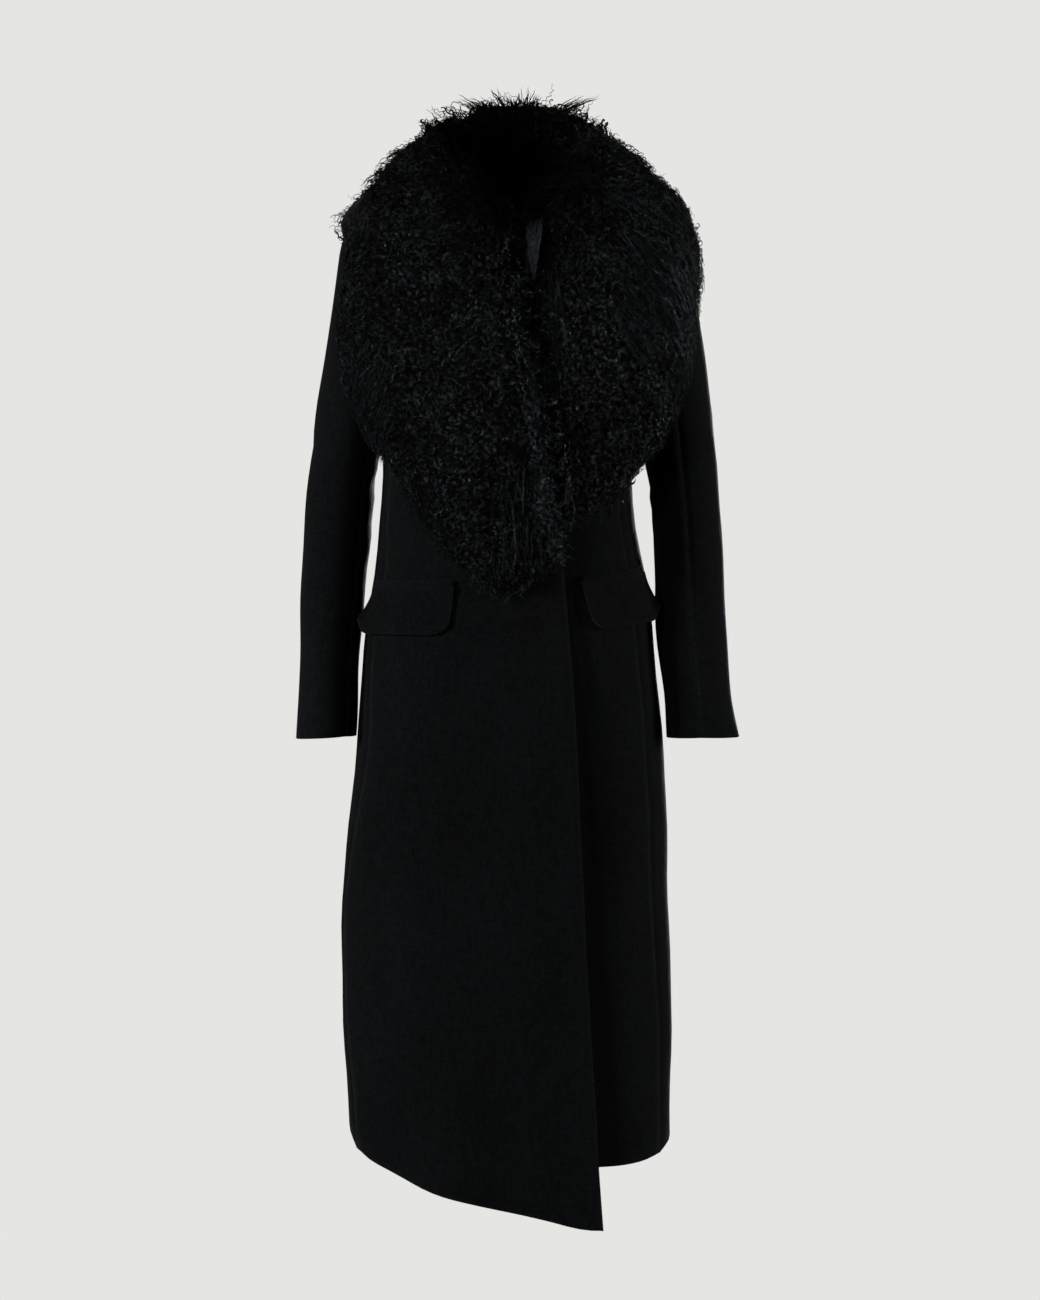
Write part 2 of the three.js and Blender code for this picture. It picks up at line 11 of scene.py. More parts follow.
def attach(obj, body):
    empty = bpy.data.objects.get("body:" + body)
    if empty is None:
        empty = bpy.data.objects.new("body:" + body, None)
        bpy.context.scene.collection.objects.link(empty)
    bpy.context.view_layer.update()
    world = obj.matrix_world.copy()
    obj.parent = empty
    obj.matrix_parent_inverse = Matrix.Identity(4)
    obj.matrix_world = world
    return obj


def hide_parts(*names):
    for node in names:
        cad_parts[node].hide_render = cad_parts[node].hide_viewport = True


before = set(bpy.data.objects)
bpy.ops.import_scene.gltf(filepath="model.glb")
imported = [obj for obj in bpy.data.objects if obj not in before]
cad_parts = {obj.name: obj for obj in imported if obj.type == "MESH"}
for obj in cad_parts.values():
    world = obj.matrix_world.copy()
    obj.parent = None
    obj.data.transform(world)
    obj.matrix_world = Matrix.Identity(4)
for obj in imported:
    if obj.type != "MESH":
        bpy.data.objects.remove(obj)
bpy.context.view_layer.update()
sceneSeed = 20
noise.seed_set(sceneSeed)
print("frame loaded:", len(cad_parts), "nodes")


view = {"place": (0.008, -4.0, -0.552), "height": 1.495, "sensor": 36.0}
studio = {
    "backdrop": (0.783, 0.783, 0.765),
    "ambient": 0.2,
    "floor": (0.42, 0.42, 0.41),
    "floorZ": -1.42,
    "floorRadius": 0.62,
    "floorFade": 0.34,
}
lamps = [
    {"name": "keyLamp", "place": (-2.9, -1.7, -0.1), "size": 0.8, "power": 185},
    {"name": "fillLamp", "place": (3.1, -0.7, -0.3), "size": 0.9, "power": 130},
    {"name": "frontLamp", "place": (-1.9, -3.1, 0.1), "size": 0.8, "power": 60},
    {"name": "backLamp", "place": (0.9, 3.4, -0.1), "size": 1.2, "power": 220},
]
aimPoint = Vector((0.0, 0.0, -0.35))


def addCamera():
    bpy.ops.object.camera_add(location=view["place"], rotation=(math.pi / 2, 0, 0))
    camera = bpy.context.object
    camera.name = "studioCamera"
    camera.data.sensor_width = view["sensor"]
    camera.data.lens = view["sensor"] * -view["place"][1] / view["height"]
    camera.data.clip_end = 60
    bpy.context.scene.camera = camera


def addLamps():
    for lamp in lamps:
        bpy.ops.object.light_add(type="AREA", location=lamp["place"])
        light = bpy.context.object
        light.name = lamp["name"]
        light.data.shape = "DISK"
        light.data.size = lamp["size"]
        light.data.energy = lamp["power"]
        away = Vector(lamp["place"]) - aimPoint
        light.rotation_euler = away.to_track_quat("Z", "Y").to_euler()


class Wire:
    # one socket, on which sums and products are written as they are in Python
    def __init__(self, mat, socket):
        self.mat, self.socket = mat, socket

    def calc(self, operation, *others):
        values = dict(enumerate((self, *others)))
        return self.mat.add("ShaderNodeMath", {"operation": operation}, values)

    def __add__(self, other):
        return self.calc("ADD", other)

    def __sub__(self, other):
        return self.calc("SUBTRACT", other)

    def __rsub__(self, other):
        return self.mat.add("ShaderNodeMath", {"operation": "SUBTRACT"}, {0: other, 1: self})

    def __mul__(self, other):
        return self.calc("MULTIPLY", other)

    def __truediv__(self, other):
        return self.calc("DIVIDE", other)

    __radd__, __rmul__ = __add__, __mul__


class Finish:
    # a material and its nodes
    def __init__(self, name):
        self.material = bpy.data.materials.new(name)
        self.material.use_nodes = True
        self.tree = self.material.node_tree
        self.tree.nodes.clear()

    def add(self, kind, settings=None, values=None, out=0):
        node = self.tree.nodes.new(kind)
        for key, value in (settings or {}).items():
            setattr(node, key, value)
        for key, value in (values or {}).items():
            if isinstance(value, Wire):
                self.tree.links.new(value.socket, node.inputs[key])
            else:
                node.inputs[key].default_value = value
        return Wire(self, node.outputs[out]) if node.outputs else node

    def grain(self, scale, detail=2.0, rough=0.5, stretch=(1, 1, 1)):
        where = self.add("ShaderNodeTexCoord", out="Object")
        placed = self.add("ShaderNodeMapping", None, {"Vector": where, "Scale": stretch})
        values = {"Vector": placed, "Scale": scale, "Detail": detail, "Roughness": rough}
        return self.add("ShaderNodeTexNoise", None, values)

    def mark(self, name):
        return self.add("ShaderNodeAttribute", {"attribute_name": name}, out="Fac")

    def ramp(self, value, *stops):
        ramp = self.add("ShaderNodeValToRGB", None, {"Fac": value})
        elements = ramp.socket.node.color_ramp.elements
        while len(elements) < len(stops):
            elements.new(0.5)
        for element, (place, grey) in zip(elements, stops):
            element.position = place
            element.color = (grey, grey, grey, 1)
        return ramp

    def bump(self, strength, deep, height):
        values = {"Strength": strength, "Distance": deep, "Height": height}
        return self.add("ShaderNodeBump", None, values)

    def blend(self, share, low, high):
        colours = {0: share, 6: (*low, 1), 7: (*high, 1)}
        return self.add("ShaderNodeMix", {"data_type": "RGBA"}, colours, out=2)

    def surface(self, values):
        shader = self.add("ShaderNodeBsdfPrincipled", None, values)
        self.add("ShaderNodeOutputMaterial", None, {"Surface": shader})
        return self.material


wool = {
    "dark": (0.0004, 0.0005, 0.0006), "light": (0.0022, 0.0025, 0.0028),
    "napScale": 520, "threadScale": 260, "cloudScale": 9,
    "napShare": 0.55, "threadShare": 0.25, "crossShare": 0.2,
    "contrast": 3.4, "clouding": 0.9, "middle": 0.42,
    "rimHighlightShare": 0.3, "stitchDark": 0.25, "foldDark": 0.3,
    "stitchAt": 0.0055, "stitchHalf": 0.0011, "foldHalf": 0.0022, "rimHighlightHalf": 0.006,
    "bump": 0.75, "grain": 0.0009, "cloudDeep": 0.6, "stitchDeep": 0.9, "foldDeep": 0.8,
    "rough": 0.95, "lustre": 0.03, "sheen": 0.012, "sheenRough": 0.45,
}


def makeWool():
    mat = Finish("wool")
    nap = mat.grain(wool["napScale"], 3, 0.6)
    thread = mat.grain(wool["threadScale"], 2, 0.5, (1, 1, 0.3))
    cross = mat.grain(wool["threadScale"], 2, 0.5, (0.35, 0.35, 1))
    cloud = mat.grain(wool["cloudScale"], 3, 0.5, (1.6, 1.6, 0.6))
    seam = mat.mark("seamGap")
    stitchGap = ((seam - wool["stitchAt"]) / wool["stitchHalf"]).calc("ABSOLUTE")
    stitch = mat.ramp(stitchGap, (0.0, 1.0), (1.0, 0.0))
    fold = mat.ramp(seam / wool["foldHalf"], (0.0, 1.0), (1.0, 0.0))
    # painted highlight: the cloth is lighter within a few millimetres of every rim, as a rolled edge that
    # catches the light
    rimHighlight = mat.ramp(mat.mark("rimGap") / wool["rimHighlightHalf"], (0.0, 1.0), (0.45, 0.55), (1.0, 0.0))
    fibre = nap * wool["napShare"] + thread * wool["threadShare"] + cross * wool["crossShare"]
    shade = (fibre - 0.5) * wool["contrast"] + (cloud - 0.5) * wool["clouding"] + wool["middle"]
    shade = shade + rimHighlight * wool["rimHighlightShare"] - stitch * wool["stitchDark"] - fold * wool["foldDark"]
    height = fibre + cloud * wool["cloudDeep"] - stitch * wool["stitchDeep"] - fold * wool["foldDeep"]
    return mat.surface({
        "Base Color": mat.blend(shade.calc("MAXIMUM", 0.0), wool["dark"], wool["light"]),
        "Roughness": wool["rough"],
        "Specular IOR Level": wool["lustre"],
        "Sheen Weight": wool["sheen"],
        "Sheen Roughness": wool["sheenRough"],
        "Normal": mat.bump(wool["bump"], wool["grain"], height),
    })


furLook = {
    # the smooth lock's pale colour is a painted sheen on its straight hair
    "dark": (0.0002, 0.0002, 0.0002), "light": (0.0008, 0.0009, 0.0011), "paintedSheenLock": (0.026, 0.027, 0.037),
    "gleam": (0.78, 0.91, 1.0), "lustre": 0.34, "shadedLustre": 0.02, "shadedRough": 0.4,
    "crimp": 0.0085, "crimpStart": 40, "crimpSlant": 1.4, "hairs": 26, "hairStart": 90, "hairWave": 0.8,
    "sparkSize": 230, "speckSize": 700, "fineSize": 760, "curlSize": 260, "curlTurns": 19, "fineTurns": 5,
    "bump": 0.8, "grain": 0.0006, "curlGrain": 0.0016,
}


def litAndShadedCopies(mat, tint, rough, bump, spark):
    # a lit copy of the hair, lighter and glossier, where spark is 1, and a darker, duller shaded copy
    # between and where the shade mark paints shade
    litCopy = mat.add("ShaderNodeBsdfPrincipled", None, {
        "Base Color": tint, "Roughness": rough, "Specular IOR Level": furLook["lustre"],
        "Specular Tint": (*furLook["gleam"], 1), "Normal": bump,
    })
    shadedCopy = mat.add("ShaderNodeBsdfPrincipled", None, {
        "Base Color": (*furLook["dark"], 1), "Roughness": furLook["shadedRough"],
        "Specular IOR Level": furLook["shadedLustre"], "Normal": bump,
    })
    lit = (1 - mat.mark("shade")) * spark
    mixed = mat.add("ShaderNodeMixShader", None, {0: lit, 1: shadedCopy, 2: litCopy})
    mat.add("ShaderNodeOutputMaterial", None, {"Surface": mixed})
    return mat.material


def makeFur(name, light):
    mat = Finish(name)
    along, across, tone = mat.mark("along"), mat.mark("across"), mat.mark("tone")
    turn = along * (2 * math.pi / furLook["crimp"]) + tone * furLook["crimpStart"]
    waves = (turn + across * furLook["crimpSlant"]).calc("SINE")
    hairs = across * furLook["hairs"] + tone * furLook["hairStart"] + waves * furLook["hairWave"]
    hairs = hairs.calc("SINE")
    speck = mat.grain(furLook["speckSize"], 2, 0.6)
    lit = mat.mark("reach") * 0.5 + tone * 0.35 + speck * 0.3 + waves * 0.1
    bump = mat.bump(furLook["bump"], furLook["grain"], waves * 0.6 + hairs * 0.4 + speck * 0.4)
    rough = mat.ramp(speck, (0.35, 0.2), (0.62, 0.5))
    # painted highlights: where spark is high the lit copy shows, as random noise flecks on curly hair and
    # as streaks along the crimp on sleek hair
    patches = mat.grain(furLook["sparkSize"], 1, 0.5) + (tone - 0.5) * 0.25
    flecks = mat.ramp(patches, (0.46, 0.04), (0.64, 1.0))
    streaks = mat.ramp(hairs * 0.3 + waves * 0.2 + 0.5, (0.3, 0.15), (0.95, 1.0))
    sleek = mat.mark("sleek")
    spark = flecks * (1 - sleek) + streaks * sleek
    tint = mat.blend(lit.calc("MAXIMUM", 0.0), furLook["dark"], light)
    return litAndShadedCopies(mat, tint, rough, bump, spark)


def makeUnderwool():
    # the same fur where it lies close: tight curls with fine hair on them
    mat = Finish("underwool")
    fine = mat.grain(furLook["fineSize"], 2, 0.6)
    curl = mat.grain(furLook["curlSize"], 3, 0.65)
    ridge = (curl * furLook["curlTurns"] + fine * furLook["fineTurns"]).calc("SINE")
    bump = mat.bump(1.0, furLook["curlGrain"], ridge * 0.5 + fine * 1.2)
    rough = mat.ramp(fine, (0.38, 0.22), (0.62, 0.6))
    # painted highlights: random noise flecks where the lit copy shows
    spark = mat.ramp(mat.grain(furLook["sparkSize"], 1, 0.5), (0.48, 0.02), (0.66, 0.8))
    tint = mat.blend(ridge * 0.3 + fine * 0.6, furLook["dark"], furLook["light"])
    return litAndShadedCopies(mat, tint, rough, bump, spark)


def makeFloor():
    mat = Finish("paleFloor")
    where = mat.add("ShaderNodeTexCoord", out="Object")
    far = mat.add("ShaderNodeVectorMath", {"operation": "LENGTH"}, {0: where}, out=1)
    cover = mat.ramp(far / studio["floorRadius"], (0.0, 1.0), (studio["floorFade"], 1.0), (1.0, 0.0))
    paint = mat.add("ShaderNodeBsdfDiffuse", None, {"Color": (*studio["floor"], 1)})
    clear = mat.add("ShaderNodeBsdfTransparent")
    mixed = mat.add("ShaderNodeMixShader", None, {0: cover, 1: clear, 2: paint})
    mat.add("ShaderNodeOutputMaterial", None, {"Surface": mixed})
    return mat.material


def addFloor():
    bpy.ops.mesh.primitive_circle_add(vertices=96, radius=studio["floorRadius"], fill_type="NGON")
    floor = bpy.context.object
    floor.name = "paleFloor"
    floor.location.z = studio["floorZ"]
    floor.data.materials.append(makeFloor())


def addBackdrop():
    # a bright backdrop behind the coat, whose light on it is as soft as a large studio's
    world = bpy.data.worlds.new("paleBackdrop")
    world.use_nodes = True
    nodes, links = world.node_tree.nodes, world.node_tree.links
    seen = nodes["Background"]
    shed = nodes.new("ShaderNodeBackground")
    for background in (seen, shed):
        background.inputs["Color"].default_value = (*studio["backdrop"], 1)
    shed.inputs["Strength"].default_value = studio["ambient"]
    direct, mixed = nodes.new("ShaderNodeLightPath"), nodes.new("ShaderNodeMixShader")
    links.new(direct.outputs["Is Camera Ray"], mixed.inputs[0])
    links.new(shed.outputs[0], mixed.inputs[1])
    links.new(seen.outputs[0], mixed.inputs[2])
    links.new(mixed.outputs[0], nodes["World Output"].inputs["Surface"])
    bpy.context.scene.world = world
    bpy.context.scene.view_settings.view_transform = "Standard"


sameSpot = 0.00002  # corners closer than this are one
rimAngle = math.radians(48)  # a wall turns by more than this round its rim


def choose(piece):
    bpy.ops.object.select_all(action="DESELECT")
    piece.select_set(True)
    bpy.context.view_layer.objects.active = piece


def newPiece(name, nodeName):
    # the panel's own solid, its loose triangles merged and paired into quads
    piece = bpy.data.objects.new(name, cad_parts[nodeName].data.copy())
    bpy.context.collection.objects.link(piece)
    choose(piece)
    bpy.ops.object.mode_set(mode="EDIT")
    bpy.ops.mesh.select_all(action="SELECT")
    bpy.ops.mesh.remove_doubles(threshold=sameSpot)
    bpy.ops.mesh.customdata_custom_splitnormals_clear()
    bpy.ops.mesh.tris_convert_to_quads()
    bpy.ops.object.mode_set(mode="OBJECT")
    piece.data.materials.clear()
    return piece


def dress(piece, material):
    piece.data.materials.append(material)
    piece.data.polygons.foreach_set("use_smooth", [True] * len(piece.data.polygons))


def creaseRims(piece, firm):
    # the edges where the wall turns round its rim stay firm when it is subdivided
    mesh = bmesh.new()
    mesh.from_mesh(piece.data)
    layer = mesh.edges.layers.float.new("crease_edge")
    rims = []
    for edge in mesh.edges:
        if len(edge.link_faces) == 2 and edge.calc_face_angle(0) > rimAngle:
            edge[layer] = firm
            rims.append((edge.verts[0].co.copy(), edge.verts[1].co.copy()))
    corners = mesh.verts.layers.float.new("crease_vert")
    for vert in mesh.verts:
        if sum(edge[layer] > 0 for edge in vert.link_edges) > 2:
            vert[corners] = 1.0
    mesh.to_mesh(piece.data)
    mesh.free()
    return rims


def subdivide(piece, levels):
    modifier = piece.modifiers.new("smooth", "SUBSURF")
    modifier.levels = modifier.render_levels = levels
    choose(piece)
    bpy.ops.object.modifier_apply(modifier=modifier.name)


def subdivideOnForm(piece, levels):
    # smoothing pulls a form in, so its corners are first moved out by as much
    corners = points(piece)
    held = corners.copy()
    for _ in range(2):
        trial = bpy.data.objects.new("trial", piece.data.copy())
        bpy.context.collection.objects.link(trial)
        setPoints(trial, held)
        subdivide(trial, levels)
        held = held + (corners - points(trial)[:len(corners)])
        bpy.data.objects.remove(trial)
    setPoints(piece, held)
    subdivide(piece, levels)


def points(piece):
    flat = np.empty(len(piece.data.vertices) * 3)
    piece.data.vertices.foreach_get("co", flat)
    return flat.reshape(-1, 3)


def setPoints(piece, places):
    piece.data.vertices.foreach_set("co", places.ravel())
    piece.data.update()


def setMark(piece, name, values):
    mark = piece.data.attributes.new(name, "FLOAT", "POINT")
    mark.data.foreach_set("value", np.asarray(values, dtype=np.float32))


def ease(value, low, high):
    share = np.clip((value - low) / (high - low), 0, 1)
    return share * share * (3 - 2 * share)


# Troughs and ridges of the body, on each side: points (x, z) along them, depth and half width.
bodyCreases = {
    "front": [
        ((-0.045, -0.56), (-0.052, -0.80), (-0.060, -1.08), -0.0030, 0.030),
        ((-0.110, -0.60), (-0.118, -0.78), (-0.121, -0.96), 0.0026, 0.022),
        ((0.020, -0.60), (0.030, -0.84), (0.036, -1.10), 0.0022, 0.030),
        ((-0.085, -0.50), (-0.040, -0.535), (0.010, -0.56), -0.0020, 0.016),
        ((-0.100, -0.44), (-0.080, -0.47), (-0.040, -0.50), 0.0018, 0.012),
        ((0.118, -0.40), (0.095, -0.435), (0.070, -0.445), -0.0022, 0.011),
        ((0.112, -0.45), (0.100, -0.62), (0.112, -0.80), 0.0022, 0.016),
        ((0.145, -0.66), (0.150, -0.86), (0.146, -1.05), -0.0024, 0.020),
    ],
    "back": [
        ((-0.105, -0.37), (-0.060, -0.405), (-0.012, -0.40), -0.0034, 0.013),
        ((0.100, -0.36), (0.055, -0.385), (0.015, -0.42), -0.0030, 0.012),
        ((-0.090, -0.42), (-0.045, -0.455), (-0.020, -0.47), 0.0026, 0.012),
        ((0.085, -0.44), (0.050, -0.455), (0.012, -0.50), 0.0024, 0.013),
        ((-0.060, -0.52), (-0.070, -0.80), (-0.075, -1.06), -0.0040, 0.028),
        ((0.070, -0.54), (0.066, -0.82), (0.080, -1.07), -0.0036, 0.026),
        ((-0.115, -0.58), (-0.125, -0.84), (-0.120, -1.05), 0.0032, 0.022),
        ((0.118, -0.60), (0.130, -0.85), (0.134, -1.06), 0.0028, 0.022),
        ((-0.120, -0.22), (-0.080, -0.27), (-0.060, -0.34), 0.0022, 0.016),
        ((0.125, -0.23), (0.085, -0.29), (0.055, -0.35), 0.0020, 0.017),
    ],
}
# The same for each sleeve: points (angle round it, z), depth and half width.
sleeveCreases = {
    "right": [
        ((-60, -0.345), (0, -0.362), (60, -0.372), -0.0030, 0.010),
        ((-40, -0.395), (20, -0.400), (80, -0.392), -0.0024, 0.009),
        ((-20, -0.425), (50, -0.442), (110, -0.436), 0.0020, 0.010),
        ((150, -0.30), (190, -0.33), (230, -0.35), -0.0020, 0.012),
        ((-120, -0.50), (-90, -0.56), (-70, -0.62), 0.0016, 0.010),
    ],
    "left": [
        ((240, -0.352), (180, -0.366), (120, -0.372), -0.0028, 0.010),
        ((220, -0.385), (160, -0.402), (110, -0.410), -0.0022, 0.009),
        ((230, -0.440), (170, -0.448), (120, -0.438), 0.0020, 0.010),
        ((30, -0.29), (-10, -0.32), (-50, -0.35), -0.0022, 0.012),
        ((-60, -0.52), (-85, -0.57), (-100, -0.63), 0.0015, 0.011),
    ],
}
crease = {
    "steps": 14, "fade": 0.45, "ripple": 0.0005, "facing": (-0.005, 0.03),
    "bodyHalf": 0.115, "bodyDeep": 0.10, "bodyFrom": (0.16, 0.26),
    "armY": 0.003, "armRadius": 0.045, "armFrom": (0.20, 0.29),
}
# The middle of the sleeves, by height.
armZ = (-0.655, -0.45, -0.30, -0.16)
armX = (0.2125, 0.2035, 0.190, 0.168)


def curveThrough(corners):
    # a soft line through three corners
    (a, b, c) = [np.array(p, float) for p in corners]
    t = np.linspace(0, 1, crease["steps"])[:, None]
    middle = 2 * b - (a + c) / 2
    return (1 - t) ** 2 * a + 2 * t * (1 - t) * middle + t * t * c


def creaseAmount(places, corners, depth, half):
    line = curveThrough(corners)
    gaps = np.linalg.norm(places[:, None, :] - line[None], axis=2)
    nearest = gaps.argmin(1)
    along = nearest / (crease["steps"] - 1)
    fade = np.sin(np.pi * np.clip(along * 0.94 + 0.03, 0, 1)) ** crease["fade"]
    return depth * np.exp(-((gaps.min(1) / half) ** 2)) * fade


def ripple(places):
    x, y, z = places.T
    wave = np.sin(31 * x + 17 * z + 9 * y) + np.sin(-23 * x + 29 * z + 2)
    wave += np.sin(53 * z + 11 * y + 19 * x + 1)
    return crease["ripple"] * wave


# The over front's edge, from its top to its corner (x, z), and how far it stands off the under front.
lap = {
    "top": (0.056, -0.449), "corner": (0.097, -1.19),
    "lift": 0.011, "sink": 0.008, "reach": 0.055, "full": 0.30,
}


def standOff(places, name):
    # the free edge of the over front stands off, and the under front falls back behind it
    x, _, z = places.T
    edge = np.interp(-z, (-lap["top"][1], -lap["corner"][1]), (lap["top"][0], lap["corner"][0]))
    share = ease(lap["top"][1] - z, -0.02, lap["full"])
    if name == "frontRightOver":
        return share * lap["lift"] * ease(x - edge, -lap["reach"], 0.0)
    return -share * lap["sink"] * ease(lap["reach"] - np.abs(x - edge), 0.0, lap["reach"])


def foldBody(piece):
    places = points(piece)
    out = places[:, :2] / np.array([crease["bodyHalf"] ** 2, crease["bodyDeep"] ** 2])
    out /= np.linalg.norm(out, axis=1)[:, None] + 1e-9
    amount = ripple(places)
    for side, sign in (("front", -1), ("back", 1)):
        facing = ease(sign * places[:, 1], *crease["facing"])
        for *corners, depth, half in bodyCreases[side]:
            amount += facing * creaseAmount(places[:, [0, 2]], corners, depth, half)
    amount *= ease(-places[:, 2], *crease["bodyFrom"])  # the shoulders and armholes keep their fit
    places[:, :2] += out * amount[:, None]
    if piece.name in ("frontRightOver", "frontLeftUnder"):
        places[:, 1] -= standOff(places, piece.name)
    setPoints(piece, places)


def foldSleeve(piece, side):
    places = points(piece)
    x, _, z = places.T
    across = np.interp(z, armZ, armX) * (-1 if side == "right" else 1)
    middle = np.stack([across, np.full_like(x, crease["armY"])], 1)
    out = places[:, :2] - middle
    radius = np.linalg.norm(out, axis=1)
    out /= radius[:, None] + 1e-9
    turn = np.degrees(np.arctan2(-out[:, 1], out[:, 0]))
    amount = ripple(places)
    for *corners, depth, half in sleeveCreases[side]:
        centre = corners[1][0]
        near = (turn - centre + 180) % 360 - 180
        line = [(math.radians(a - centre) * crease["armRadius"], h) for a, h in corners]
        flat = np.stack([np.radians(near) * crease["armRadius"], z], 1)
        amount += creaseAmount(flat, line, depth, half)
    amount *= ease(-z, *crease["armFrom"])
    places[:, :2] += out * amount[:, None]
    setPoints(piece, places)


# Each piece of cloth: the width and length of its cut, its area, and the arm it is on.
clothPieces = {
    "frontRightOver": {"flat": (0.31, 1.20), "area": 0.288},
    "frontLeftUnder": {"flat": (0.275, 1.13), "area": 0.250},
    "backRight": {"flat": (0.185, 1.10), "area": 0.178},
    "backLeft": {"flat": (0.18, 1.10), "area": 0.171},
    "sideRight": {"flat": (0.165, 0.88), "area": 0.122},
    "sideLeft": {"flat": (0.185, 0.88), "area": 0.139},
    "sleeveUpperRight": {"flat": (0.20, 0.66), "area": 0.105, "arm": "right"},
    "sleeveUnderRight": {"flat": (0.11, 0.52), "area": 0.047, "arm": "right"},
    "sleeveUpperLeft": {"flat": (0.185, 0.66), "area": 0.095, "arm": "left"},
    "sleeveUnderLeft": {"flat": (0.14, 0.52), "area": 0.062, "arm": "left"},
    "pocketFlapRight": {"flat": (0.11, 0.068), "area": 0.0067},
    "pocketFlapLeft": {"flat": (0.10, 0.062), "area": 0.0054},
    "pocketJetRight": {"flat": (0.09, 0.01), "area": 0.00075},
    "pocketJetLeft": {"flat": (0.075, 0.01), "area": 0.0006},
    "collarStand": {"flat": (0.24, 0.036), "area": 0.0066},
}
clothWork = {
    "rimCrease": 0.7, "levels": 1, "seamReach": 0.004, "rimStep": 0.004,
    "rimDeep": 0.0022, "seamClose": 0.0022, "meet": 0.52,
}


def nodeOf(name):
    # the CAD node of a piece of cloth has the same name, with underscores
    return "".join("_" + letter.lower() if letter.isupper() else letter for letter in name)


def rimSamples(rims):
    spots = []
    for start, end in rims:
        count = max(1, int((end - start).length / clothWork["rimStep"]))
        spots += [start.lerp(end, i / count) for i in range(count + 1)]
    return spots


def treeOf(spots):
    tree = KDTree(len(spots))
    for i, spot in enumerate(spots):
        tree.insert(spot, i)
    tree.balance()
    return tree


def markRims(piece, rims, others):
    # how far each point is from a seam, where another panel joins, and from any rim
    spots = rimSamples(rims)
    seams = [s for s in spots if others.find(s)[2] < clothWork["seamReach"]]
    rimTree = treeOf(spots)
    seamTree = treeOf(seams) if seams else None
    places = points(piece)
    gaps = [rimTree.find(p)[2] for p in places]
    setMark(piece, "rimGap", gaps)
    setMark(piece, "seamGap", [seamTree.find(p)[2] if seamTree else 1.0 for p in places])
    return gaps


def closeSeams(piece, gaps, others):
    # neighbouring panels meet halfway, so that no light comes through a seam
    places = points(piece)
    for i, gap in enumerate(gaps):
        if gap > clothWork["rimDeep"]:
            continue
        for other in others:
            spot, _, _, _ = other.find_nearest(Vector(places[i]), clothWork["seamClose"])
            if spot:
                places[i] += (np.array(spot) - places[i]) * clothWork["meet"]
                break
    setPoints(piece, places)


def facesOf(nodeName, start=0):
    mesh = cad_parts[nodeName].data
    corners = [v.co.copy() for v in mesh.vertices]
    return corners, [tuple(start + i for i in p.vertices) for p in mesh.polygons]


def addCloth(material):
    panels = [name for name in clothPieces if "pocket" not in name]
    surfaces = {name: BVHTree.FromPolygons(*facesOf(nodeOf(name))) for name in panels}
    for name, cloth in clothPieces.items():
        piece = newPiece(name, nodeOf(name))
        rims = creaseRims(piece, clothWork["rimCrease"])
        subdivideOnForm(piece, clothWork["levels"])
        near = [other for other in panels if other != name]
        corners = np.concatenate([points(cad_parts[nodeOf(other)]) for other in near])
        gaps = markRims(piece, rims, treeOf(corners))
        if name in panels:
            closeSeams(piece, gaps, [surfaces[other] for other in near])
        if "arm" in cloth:
            foldSleeve(piece, cloth["arm"])
        else:
            foldBody(piece)
        dress(piece, material)
        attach(piece, "root")
        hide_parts(nodeOf(name))
        print("cloth:", name, len(piece.data.polygons), "faces")


furNodes = {
    "Right": {"node": "lapel_fur_right", "locks": 460, "curls": 2250},
    "Left": {"node": "lapel_fur_left", "locks": 400, "curls": 1950},
    "Back": {"node": "collar_fur_back", "locks": 420, "curls": 1400},
}
# By height: the angle of the hair from straight down at the outer side of the lapels, and the parting.
combZ = (-0.50, -0.40, -0.30, -0.20, -0.10, -0.04, 0.02, 0.08)
combTurn = (8, 18, 32, 50, 74, 95, 128, 158)
partZ = (-0.45, -0.375, -0.25, -0.18, -0.12, -0.08, 0.0)
partX = (0.056, 0.045, 0.029, 0.020, 0.013, 0.008, 0.008)
